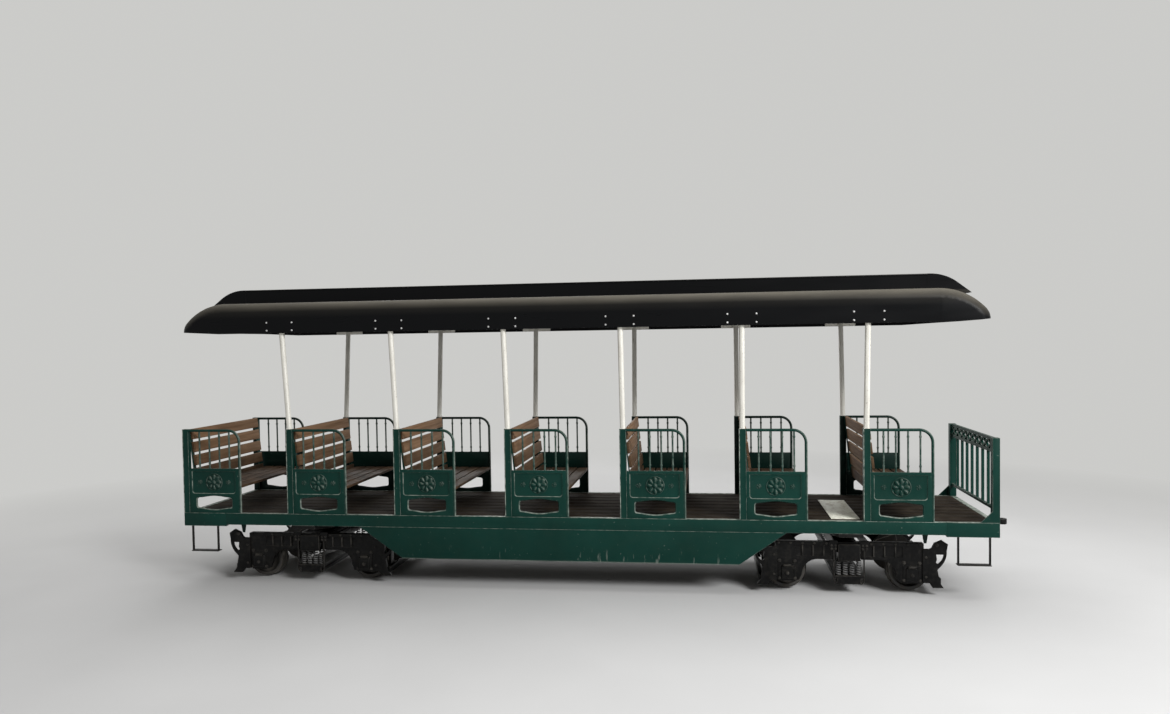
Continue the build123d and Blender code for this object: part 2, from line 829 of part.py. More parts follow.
for tag, end in truck_ends:
    centre = end * truck_place
    with BuildPart() as truck_frame:
        for side in (-1, 1):
            # Beam with its pedestals, and the window for the bolster
            with BuildSketch(elevation(centre, side * frame_outer)):
                with Locations((0, (frame_top_z + frame_under_z) / 2)):
                    Rectangle(2 * frame_reach, frame_height)
                add(pedestal())
                make_face()
                mirror(about=Plane.YZ)
                with Locations((0, window_top_z - window_width / 2)):
                    Rectangle(window_width, window_width, mode=Mode.SUBTRACT)
            extrude(amount=side * frame_thickness)
            # Shallow pocket in the outer face beside each window
            with BuildSketch(elevation(centre, side * frame_outer)):
                with Locations(((pocket_start + pocket_end) / 2, (frame_top_z + frame_under_z) / 2)):
                    Rectangle(pocket_end - pocket_start, frame_height - 3 * flange_bar)
                mirror(about=Plane.YZ)
            extrude(amount=side * frame_pocket, mode=Mode.SUBTRACT)
            # Top flange, wider on the inside
            with BuildSketch(elevation(centre, side * frame_outer)):
                with Locations((0, frame_top_z - flange_bar / 2)):
                    Rectangle(2 * frame_reach, flange_bar)
            extrude(amount=side * frame_flange)
            # End brackets
            with BuildSketch(elevation(centre, side * (frame_outer + cap_proud))):
                add(end_bracket())
                make_face()
                add(bracket_hole())
                make_face(mode=Mode.SUBTRACT)
                mirror(about=Plane.YZ)
            extrude(amount=side * end_bracket_thickness)
            # Caps over the strap ends
            with BuildSketch(elevation(centre, side * (frame_outer + cap_proud))):
                with Locations((cap_start + cap_length / 2, cap_bottom_z + cap_height / 2)):
                    Rectangle(cap_length, cap_height)
                mirror(about=Plane.YZ)
            extrude(amount=side * cap_proud)
            # Axle boxes with bevelled lids
            with BuildSketch(elevation(centre, side * (frame_outer + box_proud))):
                with Locations((-half_base, axle_height), (half_base, axle_height)):
                    Rectangle(box_width, box_height)
            extrude(amount=side * box_proud)
            with BuildSketch(Plane.XZ.offset(-side * (frame_outer + box_proud))):
                with Locations((centre - half_base, axle_height), (centre + half_base, axle_height)):
                    Rectangle(lid_width, lid_height)
            extrude(amount=-side * lid_proud, taper=lid_bevel)
            with BuildSketch(elevation(centre, side * frame_inner)):
                with Locations((-half_base, axle_height), (half_base, axle_height)):
                    Circle(journal_diameter / 2 + pin_gap)
            extrude(amount=-side * (frame_thickness - box_wall), mode=Mode.SUBTRACT)
        with BuildSketch(elevation(centre, -frame_inner)):
            with Locations((0, rail_top + transom_middle)):
                with GridLocations(2 * transom_place, 0, 2, 1):
                    Rectangle(transom_width, transom_height)
        extrude(amount=-2 * frame_inner)
    save(truck_frame, f"truck_frame_{tag}")

    # Bolster: it passes through the windows, with end blocks outside them and the centre plate on top
    plate_top = plate_bottom - pivot_gap
    block_top = rail_top + bolster_end_height
    with BuildPart() as truck_bolster:
        with BuildSketch(Plane.YZ.offset(centre - bolster_width / 2)):
            with BuildLine():
                Polyline(
                    (0, bolster_bottom_z),
                    (bolster_end, bolster_bottom_z),
                    (bolster_end, block_top),
                    (frame_outer + bolster_gap, block_top),
                    (frame_outer + bolster_gap, window_top_z - bolster_gap),
                    (frame_inner - bolster_gap, window_top_z - bolster_gap),
                    (frame_inner - frame_flange, plate_top - centre_plate_thickness),
                    (0, plate_top - centre_plate_thickness),
                )
                mirror(about=Plane.YZ)
            make_face()
        extrude(amount=bolster_width)
        with BuildSketch(Plane.XY.offset(plate_top - centre_plate_thickness)):
            with Locations((centre, 0)):
                Circle(centre_plate_diameter / 2)
        extrude(amount=centre_plate_thickness)
        with BuildSketch(Plane.XY.offset(plate_top)):
            with Locations((centre, 0)):
                Circle(king_pin_diameter / 2 + pin_gap)
        extrude(amount=-king_pin_length - bolster_gap, mode=Mode.SUBTRACT)
    save(truck_bolster, f"truck_bolster_{tag}")

    with BuildPart() as truck_springs:
        for side in (-1, 1):
            with Locations((centre, side * frame_middle, spring_seat_z)):
                with GridLocations(spring_pitch, 0, springs_per_side, 1):
                    add(spring.part)
    save(truck_springs, f"truck_springs_{tag}")

    # Spring plank and the U straps that carry it
    with BuildPart() as spring_plank:
        for side in (-1, 1):
            with BuildSketch(elevation(centre, side * (frame_outer + strap_depth))):
                with BuildLine():
                    outer = FilletPolyline(
                        (-strap_width / 2, cap_bottom_z),
                        (-strap_width / 2, strap_bottom_z),
                        (strap_width / 2, strap_bottom_z),
                        (strap_width / 2, cap_bottom_z),
                        radius=strap_corner,
                    )
                    Line(outer @ 1, (strap_width / 2 - strap_bar, cap_bottom_z))
                    inner = FilletPolyline(
                        (strap_width / 2 - strap_bar, cap_bottom_z),
                        (strap_width / 2 - strap_bar, strap_bottom_z + strap_bar),
                        (-strap_width / 2 + strap_bar, strap_bottom_z + strap_bar),
                        (-strap_width / 2 + strap_bar, cap_bottom_z),
                        radius=strap_corner - strap_bar,
                    )
                    Line(inner @ 1, outer @ 0)
                make_face()
            extrude(amount=side * strap_depth)
        plank_width = strap_width - 2 * strap_corner
        with BuildSketch(Plane.YZ.offset(centre - plank_width / 2)):
            with Locations((0, (strap_bottom_z + spring_seat_z) / 2)):
                Rectangle(2 * (frame_outer + strap_depth), spring_seat_z - strap_bottom_z)
        extrude(amount=plank_width)
        with BuildSketch(Plane.YZ.offset(centre - strap_width / 2 + strap_bar)):
            with Locations((0, spring_seat_z - strap_bar)):
                Rectangle(2 * (frame_outer + strap_depth), 2 * strap_bar)
        extrude(amount=strap_width - 2 * strap_bar)
    save(spring_plank, f"spring_plank_{tag}")

    # Brake gear: a beam across each end with a shoe at each wheel
    shoe_face = half_base + wheel_diameter / 2 + brake_gap
    shoe_middle = gauge / 2 + wheel_width / 2 - flange_thickness
    bracket_inner = frame_outer + cap_proud - end_bracket_thickness
    with BuildPart() as brake_gear:
        for side in (-1, 1):
            with BuildSketch(elevation(centre, side * (shoe_middle + shoe_width / 2))):
                with Locations((shoe_face + shoe_thickness / 2, axle_height)):
                    Rectangle(shoe_thickness, shoe_height)
                with Locations((half_base, axle_height)):
                    Circle(wheel_diameter / 2 + flange_height + brake_gap, mode=Mode.SUBTRACT)
                mirror(about=Plane.YZ)
            extrude(amount=side * shoe_width)
        with BuildSketch(elevation(centre, -bracket_inner)):
            with Locations((shoe_face + shoe_thickness + beam_width / 2, rail_top + beam_middle)):
                Rectangle(beam_width, beam_height)
            mirror(about=Plane.YZ)
        extrude(amount=-2 * bracket_inner)
    save(brake_gear, f"brake_gear_{tag}")

    # Wheelsets: an axle with two flanged wheels
    tread = wheel_diameter / 2
    wheel_back = gauge / 2 - flange_thickness - flange_play
    journal_end = frame_outer - box_wall - journal_gap
    wheel_front = wheel_back + wheel_width
    web_front = wheel_back + wheel_plate
    for axle_tag, way in (("outer", end), ("inner", -end)):
        with BuildPart() as wheelset:
            with BuildSketch(Plane.XY):
                with BuildLine():
                    Polyline(
                        (0, 0),
                        (axle_diameter / 2, 0),
                        (axle_diameter / 2, wheel_back),
                        (tread + flange_height, wheel_back),
                        (tread + flange_height, wheel_back + flange_thickness / 2),
                        (tread, wheel_back + flange_thickness + flange_play),
                        (tread - tread_drop, wheel_front),
                        (tread - rim_depth, wheel_front),
                        (tread - rim_depth, web_front),
                        (hub_diameter / 2, web_front),
                        (hub_diameter / 2, wheel_front + hub_proud),
                        (journal_diameter / 2, wheel_front + hub_proud),
                        (journal_diameter / 2, journal_end),
                        (0, journal_end),
                        close=True,
                    )
                make_face()
            revolve(axis=Axis.Y)
            mirror(about=Plane.XZ)
        wheelset.part.position = (centre + way * half_base, 0, axle_height)
        save(wheelset, f"wheelset_{tag}_{axle_tag}")
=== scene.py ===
# %% [markdown]
# # An open park train coach
# The CAD model is the fixed frame: it gives every main form its size and place. This lesson dresses
# it. Plain steel and wood pieces are copies of their solids with softened edges, and the ornamental
# panels, the coil springs and the small fittings are modelled here. All lengths are metres. X runs
# along the coach, Y across it and Z up.

# %% Load the frame
import json
import math

import bpy
from mathutils import Matrix, Vector


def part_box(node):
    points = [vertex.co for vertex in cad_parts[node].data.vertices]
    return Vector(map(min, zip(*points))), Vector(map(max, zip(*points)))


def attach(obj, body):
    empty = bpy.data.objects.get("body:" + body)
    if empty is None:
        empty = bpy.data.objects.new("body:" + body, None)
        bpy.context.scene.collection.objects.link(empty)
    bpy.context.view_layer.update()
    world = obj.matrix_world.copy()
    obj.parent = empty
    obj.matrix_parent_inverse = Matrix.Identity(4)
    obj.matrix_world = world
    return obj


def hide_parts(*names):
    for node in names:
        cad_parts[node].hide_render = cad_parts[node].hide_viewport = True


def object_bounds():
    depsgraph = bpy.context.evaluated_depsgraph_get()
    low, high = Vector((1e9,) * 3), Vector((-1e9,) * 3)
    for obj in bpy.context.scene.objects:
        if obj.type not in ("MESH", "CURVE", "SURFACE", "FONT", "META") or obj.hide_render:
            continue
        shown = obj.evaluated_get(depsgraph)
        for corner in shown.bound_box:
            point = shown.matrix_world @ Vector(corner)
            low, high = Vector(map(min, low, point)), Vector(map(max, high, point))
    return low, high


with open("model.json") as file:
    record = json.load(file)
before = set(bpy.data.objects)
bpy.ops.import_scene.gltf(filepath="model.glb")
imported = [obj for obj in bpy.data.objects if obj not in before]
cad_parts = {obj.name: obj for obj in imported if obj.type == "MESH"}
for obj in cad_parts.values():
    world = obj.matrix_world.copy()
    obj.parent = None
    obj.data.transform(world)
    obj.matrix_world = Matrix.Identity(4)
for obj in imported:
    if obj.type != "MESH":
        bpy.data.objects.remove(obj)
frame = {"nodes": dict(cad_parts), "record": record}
cad_low, cad_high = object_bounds()
nodes = frame["nodes"]
record = frame["record"]
body_of = {node: body for body, held in record["behaviour"]["bodies"].items() for node in held}

# %% [markdown]
# Every step needs a few small tools. Operators act on whatever is selected, so each tool first
# clears the selection and then picks one object, or the faces of it that pass a test.

# %% Tools for selecting and editing
def nothing_selected():
    bpy.ops.object.select_all(action="DESELECT")


def only(obj):
    """Select this object alone and make it active."""
    nothing_selected()
    obj.select_set(True)
    bpy.context.view_layer.objects.active = obj


def edit(obj, kind="FACE", everything=True):
    """Enter edit mode on one object: all selected, nothing selected, or, with None, as it was."""
    only(obj)
    bpy.ops.object.mode_set(mode="EDIT")
    bpy.ops.mesh.select_mode(type=kind)
    if everything is not None:
        bpy.ops.mesh.select_all(action="SELECT" if everything else "DESELECT")


def done():
    bpy.ops.object.mode_set(mode="OBJECT")


def pick(obj, test, kind="FACE"):
    """Select the faces, edges or vertices that pass the test, then enter edit mode."""
    mesh = obj.data
    for group in (mesh.vertices, mesh.edges, mesh.polygons):
        for item in group:
            item.select = False
    if kind == "FACE":
        for face in mesh.polygons:
            face.select = test(face.center, face.normal)
    elif kind == "VERT":
        for vertex in mesh.vertices:
            vertex.select = test(vertex.co)
    else:
        for edge in mesh.edges:
            ends = [mesh.vertices[index].co for index in edge.vertices]
            edge.select = test(ends[0], ends[1])
    edit(obj, kind, everything=None)


def settle(obj):
    """Put the object's place into its mesh, so that the object itself sits at the origin."""
    only(obj)
    bpy.ops.object.transform_apply(location=True, rotation=True, scale=True)
    return obj


def named(name):
    """The object that an operator just added, with its name."""
    obj = bpy.context.object
    obj.name = obj.data.name = name
    return obj


# %% [markdown]
# Rolled, cast and planed edges are never knife sharp. A narrow bevel catches the light along them,
# which is most of what makes a plain steel section look real. Edges could be bevelled by hand in
# edit mode, but the Bevel modifier finds every edge that is sharper than an angle. Paint wears off
# there first, and the paint carries a painted highlight there as well, so the modifier marks its own
# faces, and a face attribute named "wear_and_highlight" remembers them for the paint to read. Other
# pieces store more painted highlight in it, on faces that point towards the light. Shading stays
# smooth on round stretches and breaks at real corners.

# %% Tools for softening
def apply(obj, kind, **settings):
    """Add a modifier with these settings and apply it."""
    only(obj)
    modifier = obj.modifiers.new(kind.title(), kind)
    for key, value in settings.items():
        setattr(modifier, key, value)
    bpy.ops.object.modifier_apply(modifier=modifier.name)
    return obj


def shade(obj, angle=32):
    only(obj)
    bpy.ops.object.shade_smooth_by_angle(angle=math.radians(angle))
    return obj


def store(obj, name, rule):
    """Store a number on every face for which the rule gives one."""
    kept = obj.data.attributes.get(name) or obj.data.attributes.new(name, "FLOAT", "FACE")
    for face in obj.data.polygons:
        number = rule(face)
        if number is not None:
            kept.data[face.index].value = number
    return obj


def even_wear_and_highlight(obj, amount):
    """Store one even amount of wear and painted highlight on the whole piece."""
    return store(obj, "wear_and_highlight", lambda face: amount)


def soften(obj, width, segments=2, angle=40):
    """Bevel every edge sharper than the angle, mark the new faces for wear and painted highlight, then
    shade.
    """
    obj.data.materials.clear()
    for place in range(2):
        obj.data.materials.append(None)
    apply(
        obj, "BEVEL", width=width, segments=segments, limit_method="ANGLE",
        angle_limit=math.radians(angle), material=1,
    )
    store(obj, "wear_and_highlight", lambda face: 1.0 if face.material_index == 1 else None)
    obj.data.materials.clear()
    for face in obj.data.polygons:
        face.material_index = 0
    return shade(obj)


# %% [markdown]
# A CAD mesh is loose triangles, on which a bevel would make a mess. So a copy of it is merged, and
# its flat faces are joined into single polygons first. What repeats is modelled once and copied,
# each copy with its own mesh. A mirrored copy has its faces turned outwards again.

# %% Tools for copies
def outwards(obj):
    """Merge doubles and make all faces point outwards."""
    edit(obj)
    bpy.ops.mesh.remove_doubles(threshold=0.00002)
    bpy.ops.mesh.normals_make_consistent(inside=False)
    done()
    return obj


def cad_copy(node, name):
    """A merged copy of a CAD node's mesh, its flat faces joined into single polygons."""
    obj = bpy.data.objects.new(name, nodes[node].data.copy())
    obj.data.name = name
    bpy.context.scene.collection.objects.link(obj)
    only(obj)
    bpy.ops.mesh.customdata_custom_splitnormals_clear()
    edit(obj)
    bpy.ops.mesh.remove_doubles(threshold=0.00001)
    bpy.ops.mesh.select_all(action="SELECT")
    bpy.ops.mesh.dissolve_limited(angle_limit=math.radians(0.3))
    done()
    obj.data.materials.clear()
    return obj


def joined(pieces, name):
    """Join pieces into one object."""
    nothing_selected()
    for piece in pieces:
        piece.select_set(True)
    bpy.context.view_layer.objects.active = pieces[0]
    bpy.ops.object.join()
    return named(name)


def copied(obj, matrix):
    """A copy of obj with its own mesh, moved by the matrix in its vertices."""
    twin = obj.copy()
    twin.data = obj.data.copy()
    bpy.context.scene.collection.objects.link(twin)
    twin.data.transform(matrix)
    if matrix.determinant() < 0:
        twin.data.flip_normals()
    return twin


def shift(x=0.0, y=0.0, z=0.0):
    return Matrix.Translation((x, y, z))


def wear(obj, material, node=None, body=None):
    """Give a piece its material and its body, and hide the CAD node that it stands for."""
    obj.data.materials.clear()
    obj.data.materials.append(material)
    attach(obj, body or body_of[node])
    if node:
        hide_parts(node)
    return obj


# %% [markdown]
# Materials are built from arithmetic on patterns. Adding each Math node by hand would hide what is
# worked out, so a small class wraps one node socket: `1 - mask * 0.5` then adds its own nodes.

# %% Shader arithmetic
class Value:
    """One output socket that can be added, multiplied and subtracted."""

    def __init__(self, finish, socket):
        self.finish = finish
        self.socket = socket

    def maths(self, operation, first, second):
        return self.finish.node("Math", {"operation": operation}, [first, second])

    def __add__(self, other):
        return self.maths("ADD", self, other)

    def __sub__(self, other):
        return self.maths("SUBTRACT", self, other)

    def __rsub__(self, other):
        return self.maths("SUBTRACT", other, self)

    def __mul__(self, other):
        return self.maths("MULTIPLY", self, other)

    __radd__ = __add__
    __rmul__ = __mul__


# %% [markdown]
# A second class holds one material. One method makes any node, its settings first and its sockets
# after them, and the others are the few patterns that all finishes here are mixed from. They lie on
# Object coordinates, so that a pattern stays on its piece from every side.

# %% A finish and its patterns
class Finish:
    """A material being built round its Principled shader."""

    def __init__(self, name, **sockets):
        self.material = bpy.data.materials.new(name)
        self.material.use_nodes = True
        self.tree = self.material.node_tree
        self.shader = self.tree.nodes["Principled BSDF"]
        self.place = self.node("TexCoord", output="Object")
        self.set(**sockets)

    def plug(self, socket, value):
        if isinstance(value, Value):
            self.tree.links.new(value.socket, socket)
        else:
            socket.default_value = value

    def node(self, kind, settings=None, inputs=None, output=0):
        """Make a node from its settings and inputs, and give one of its outputs."""
        made = self.tree.nodes.new("ShaderNode" + kind)
        for key, value in (settings or {}).items():
            setattr(made, key, value)
        pairs = inputs.items() if isinstance(inputs, dict) else enumerate(inputs or [])
        for key, value in pairs:
            self.plug(made.inputs[key], value)
        return Value(self, made.outputs[output])

    def set(self, **sockets):
        """Set or link the shader's sockets, named in words joined by underscores."""
        for key, value in sockets.items():
            self.plug(self.shader.inputs[key.replace("_", " ")], value)

    def noise(self, scale, detail=3, roughness=0.5, stretch=(1, 1, 1)):
        where = self.node("Mapping", {}, {"Vector": self.place, "Scale": stretch})
        inputs = {"Vector": where, "Scale": scale, "Detail": detail, "Roughness": roughness}
        return self.node("TexNoise", {}, inputs, "Fac")

    def fit(self, value, low, high, to_low=0.0, to_high=1.0):
        """Stretch a range of values onto another, without going past its ends."""
        return self.node("MapRange", {}, [value, low, high, to_low, to_high])

    def mix(self, factor, first, second):
        """A colour between two colours."""
        return self.node("Mix", {"data_type": "RGBA"}, {0: factor, 6: first, 7: second}, 2)

    def stored(self, name):
        """The number that a piece stores under this name."""
        return self.node("Attribute", {"attribute_name": name}, output="Fac")

    def axis(self, name):
        return self.node("SeparateXYZ", {}, [self.place], name)

    def facing_up(self, low=0.35, high=0.95):
        """1 on level upper faces, 0 on upright ones and below."""
        normal = self.node("NewGeometry", output="Normal")
        return self.fit(self.node("SeparateXYZ", {}, [normal], "Z"), low, high)

    def wear_and_highlight(self):
        """How much wear and painted highlight lies here: the stored amount, broken up by noise."""
        return self.stored("wear_and_highlight") * self.fit(self.noise(26, 4, 0.6), 0.30, 0.62)

    def bump(self, height, strength, distance):
        inputs = {"Height": height, "Strength": strength, "Distance": distance}
        self.set(Normal=self.node("Bump", {}, inputs))

    def ready(self):
        """Print the size of the network and give the material."""
        print(self.material.name, "has", len(self.tree.nodes), "nodes")
        return self.material


# %% [markdown]
# The coach body wears dark green gloss paint that has dulled: dust lies on level ledges and small
# chips show all over. The inner faces of the panels and the tabs under the sills carry painted
# shade, nearly black. Worn edges and painted highlights share a light primer colour. The skirts are
# scraped near their lower edge, and a painted highlight runs along that edge. Layers of noise, each
# mixed over the last, give all of this and stay sharp from close by.

# %% Green paint
def green_paint():
    painted_shade_colour, dust_colour = (0.0010, 0.0055, 0.0042, 1), (0.15, 0.14, 0.105, 1)
    primer_and_highlight, chip_colour = (0.30, 0.33, 0.29, 1), (0.06, 0.052, 0.04, 1)
    finish = Finish(
        "coach_green_paint", Coat_Weight=0.07, Coat_Roughness=0.16, Specular_IOR_Level=0.08
    )
    tone = finish.fit(finish.noise(2.2, 4), 0.3, 0.7)
    coat = finish.mix(tone, (0.0020, 0.0240, 0.0178, 1), (0.0032, 0.0345, 0.0262, 1))
    # Faces that store "inner" get painted shade, nearly black.
    paint = finish.mix(finish.stored("inner") * 0.65, coat, painted_shade_colour)
    dust = finish.fit(finish.noise(14, 5, 0.65), 0.35, 0.75) * (finish.facing_up() * 0.28 + 0.02)
    dusty = finish.mix(dust, paint, dust_colour)

    above_hem = finish.axis("Z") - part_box("side_skirts")[0][2]
    # A painted highlight in patches along the lowest few millimetres of the skirt's lower edge.
    patches = finish.fit(finish.noise(3, 3), 0.35, 0.65, 0.15, 0.45)
    hem_highlight = (1 - finish.fit(above_hem, 0.004, 0.008)) * patches
    scraped_low = (1 - finish.fit(above_hem, 0.03, 0.12)) * finish.fit(finish.noise(1.6, 2), 0.48, 0.58)
    scrapes = finish.fit(finish.noise(42, 3, 0.55, (1, 1, 0.16)), 0.62, 0.67) * scraped_low
    specks = finish.fit(finish.noise(62, 2), 0.745, 0.765)
    # Light primer colour: wear with painted highlights on marked faces, a painted hem highlight, and
    # real scrapes and specks.
    bare_and_highlit = finish.wear_and_highlight() * 0.62 + scrapes * 0.34 + hem_highlight + specks * 0.3
    worn_and_highlit = finish.mix(bare_and_highlit, dusty, primer_and_highlight)

    chips = finish.fit(finish.noise(85, 3, 0.6), 0.72, 0.74)
    finish.set(Base_Color=finish.mix(chips, worn_and_highlit, chip_colour))
    finish.set(Roughness=finish.fit(finish.noise(9, 4), 0.3, 0.7, 0.34, 0.50) + dust * 0.6)
    finish.bump(finish.noise(240, 2) * 0.5 - chips, 0.25, 0.0006)
    return finish.ready()


green = green_paint()

# %% [markdown]
# The roof is black satin paint on sheet. A film of dust and a painted sheen lie on what faces up,
# and on the outer sheets the painted sheen runs down over the rolled shoulder and thins out on the
# upright fascia. The way a face points tells most of that, and its height does the rest.

# %% Black roof paint
def roof_paint():
    black, dust_colour = (0.0034, 0.0036, 0.0041, 1), (0.125, 0.114, 0.092, 1)
    finish = Finish("roof_black_paint", Specular_IOR_Level=0.08)
    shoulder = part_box("roof_sides")[1][2]
    height = finish.axis("Z")
    below_crown = 1 - finish.fit(height, shoulder, shoulder + 0.01)
    sheen_down_fascia = finish.fit(height, shoulder - 0.125, shoulder - 0.02) * below_crown
    dust_and_sheen_film = finish.fit(finish.noise(3.5, 6, 0.62, (0.5, 2, 2)), 0.20, 0.75, 0.55, 1.0)
    # Dust with a painted sheen on what faces up, and painted sheen running down the fascia.
    dust = dust_and_sheen_film * (finish.facing_up(0.10, 0.85) * 0.70 + sheen_down_fascia * 0.16)
    sheen = finish.fit(finish.noise(6, 4, 0.5, (0.4, 2, 2)), 0.3, 0.7, 0.26, 0.38)
    finish.set(Base_Color=finish.mix(dust, black, dust_colour), Roughness=sheen + dust * 0.5)
    finish.bump(finish.noise(5, 2, 0.4, (0.6, 1, 1)), 0.12, 0.004)
    return finish.ready()


roof_black = roof_paint()

# %% [markdown]
# The pipes are off-white enamel, greyed by hands and specked with rust. The noise is drawn out along
# Z, because hands and rain leave upright marks.

# %% White pipe paint
def pipe_paint():
    enamel, grimy, rust = (0.74, 0.725, 0.665, 1), (0.42, 0.39, 0.33, 1), (0.10, 0.06, 0.035, 1)
    finish = Finish("pipe_white_paint", Coat_Weight=0.1, Coat_Roughness=0.3)
    grime = finish.fit(finish.noise(16, 5, 0.6, (1, 1, 0.25)), 0.42, 0.74)
    specks = finish.fit(finish.noise(120, 3, 0.6), 0.66, 0.70)
    finish.set(Base_Color=finish.mix(specks, finish.mix(grime * 0.5, enamel, grimy), rust))
    finish.set(Roughness=0.36 + grime * 0.3)
    finish.bump(finish.noise(90, 3), 0.15, 0.0008)
    return finish.ready()


white = pipe_paint()

# %% [markdown]
# Wood needs grain that runs along each board, and no two boards alike. One material for each board
# would do, but it is simpler that every board carries its own number as a face attribute, and that
# number shifts both the grain and the tone. A second attribute, "grime", darkens the seats, the
# lower slats and the end grain: grime where hands and dirt get to, and on the seats and the lower
# slats painted shade as well.

# %% Wood
def scaled(colour, factor):
    """A colour made lighter or darker, its alpha left at 1."""
    return tuple(min(1, part * factor) for part in colour[:3]) + (1,)


def wood(name, light, dark, stretch, sheen, dust_amount):
    grime_and_shade_colour, dust_colour = (0.026, 0.016, 0.009, 1), (0.20, 0.175, 0.135, 1)
    finish = Finish(name, Specular_IOR_Level=0.10)
    board = finish.stored("board")
    tone = finish.node("TexWhiteNoise", {"noise_dimensions": "1D"}, {"W": board}, "Value")
    shifted = finish.node("CombineXYZ", {}, [board * 0.37, board * 0.61, board * 0.23])
    moved = finish.node("VectorMath", {"operation": "ADD"}, [finish.place, shifted])
    where = finish.node("Mapping", {}, {"Vector": moved, "Scale": stretch})
    grain_inputs = {"Vector": where, "Scale": 60, "Detail": 6, "Roughness": 0.62}
    ring_inputs = {"Vector": where, "Scale": 11, "Detail": 3, "Distortion": 1.2}
    grain = finish.node("TexNoise", {}, grain_inputs, "Fac")
    rings = finish.node("TexNoise", {}, ring_inputs, "Fac")
    body = finish.mix(finish.fit(grain * 0.55 + rings * 0.45, 0.36, 0.64), dark, light)
    toned = finish.mix(finish.fit(tone, 0, 1, 0, 0.45), body, scaled(dark, 0.42))
    # Grime, with painted shade on the seats and lower slats.
    held = finish.stored("grime") * finish.fit(finish.noise(9, 4), 0.25, 0.65, 0.70, 0.95)
    grimy = finish.mix(held, toned, grime_and_shade_colour)
    # Marked edges are lighter: real wear with a painted highlight.
    ends = finish.mix(finish.wear_and_highlight() * 0.45, grimy, scaled(light, 1.9))
    dust = finish.fit(finish.noise(7, 5, 0.6), 0.42, 0.78) * (finish.facing_up() * dust_amount + 0.02)
    finish.set(Base_Color=finish.mix(dust, ends, dust_colour))
    finish.set(Roughness=finish.fit(grain, 0.3, 0.7, sheen + 0.16, sheen) + dust * 0.3)
    finish.bump(grain, 0.35, 0.0008)
    return finish.ready()


ALONG_X, ALONG_Y = (0.035, 1, 1), (1, 0.035, 1)
slat_wood = wood("slat_wood", (0.345, 0.208, 0.118, 1), (0.160, 0.088, 0.045, 1), ALONG_Y, 0.54, 0.05)
# The floor boards get a near black colour as painted shade under the roof.
floor_wood = wood("floor_wood", (0.034, 0.024, 0.015, 1), (0.009, 0.006, 0.004, 1), ALONG_X, 0.82, 0.12)

# %% [markdown]
# Under the floor everything is black: brushed paint on the frame, and cast iron caked with dry
# brown dust on the trucks. The springs are the lightest. These differ in tone, dust and grain only,
# so one function makes them all.

# %% Black iron and steel
def grey(level):
    return (level, level, level, 1)


def iron(name, base, dust_colour, dust_amount, roughness, grit):
    edge_wear_and_highlight_colour = (0.13, 0.12, 0.105, 1)
    finish = Finish(name, Specular_IOR_Level=0.14)
    cake = finish.fit(finish.noise(19, 6, 0.7), 0.50, 0.70)
    dust = cake * (finish.facing_up() * 0.6 + dust_amount)
    tone = finish.mix(finish.fit(finish.noise(38, 4), 0.35, 0.7), grey(base), grey(base * 2.1))
    # Marked edges are lighter: real wear with a painted highlight.
    worn_and_highlit = finish.mix(finish.wear_and_highlight() * 0.40, tone, edge_wear_and_highlight_colour)
    finish.set(Base_Color=finish.mix(dust, worn_and_highlit, dust_colour), Roughness=roughness + dust * 0.45)
    finish.bump(finish.noise(grit, 4, 0.6) + finish.noise(16, 3) * 2, 0.5, 0.0012)
    return finish.ready()


frame_black = iron("frame_black", 0.0040, (0.060, 0.050, 0.036, 1), 0.04, 0.40, 60)
truck_black = iron("truck_iron", 0.0022, (0.070, 0.062, 0.050, 1), 0.11, 0.30, 110)
spring_grey = iron("spring_steel", 0.060, (0.13, 0.122, 0.106, 1), 0.35, 0.36, 160)

# %% [markdown]
# The wheels are iron too, but rolling polishes their treads. A bright ring could be a material of
# its own on some faces. Here the vertices store how far they are from the axle, and the finish
# turns metallic between two radii, which leaves a soft border.

# %% Wheel iron
def wheel_iron():
    iron_colour, tread_colour, cake_colour = grey(0.016), (0.21, 0.195, 0.17, 1), (0.085, 0.07, 0.05, 1)
    finish = Finish("wheel_iron", Specular_IOR_Level=0.5)
    inner, outer, border = 0.146, 0.153, 0.0005
    reach = finish.stored("reach")
    past_inner = finish.fit(reach, inner - border, inner + border)
    tread = past_inner * (1 - finish.fit(reach, outer - border, outer + border))
    cake = finish.fit(finish.noise(14, 6, 0.66), 0.38, 0.72) * (1 - tread)
    tone = finish.mix(tread, iron_colour, tread_colour)
    finish.set(Base_Color=finish.mix(cake * 0.5, tone, cake_colour), Metallic=tread * 0.85)
    finish.set(Roughness=0.55 - tread * 0.22 + cake * 0.3)
    finish.bump(finish.noise(150, 4, 0.6), 0.3, 0.0010)
    return finish.ready()


wheel_black = wheel_iron()

# %% [markdown]
# The cover plate is pale paint with scuffs across it. A noise drawn out along Y gives such marks,
# and a small plate needs no more layers than that.

# %% Paint of the cover plate
def cover_paint():
    finish = Finish("cover_grey_paint", Specular_IOR_Level=0.5)
    scuff = finish.fit(finish.noise(22, 6, 0.7, (1, 0.4, 1)), 0.45, 0.72)
    finish.set(Base_Color=finish.mix(scuff, (0.84, 0.85, 0.74, 1), (0.50, 0.46, 0.37, 1)))
    finish.set(Roughness=0.42 + scuff * 0.3)
    finish.bump(finish.noise(60, 3), 0.2, 0.001)
    return finish.ready()


cover_grey = cover_paint()

# %% [markdown]
# The frame under the coach is folded and rolled steel on which planed boards lie. It could be drawn
# again from profiles, but the solids have the right sections, so softened copies do. The narrow
# ledge along the top of each sill carries a painted highlight, a light line, and the small tabs that
# hang under the sills carry painted shade, nearly black. The sill is cut at the root of the tabs, so
# that each part of its web can store its own number.

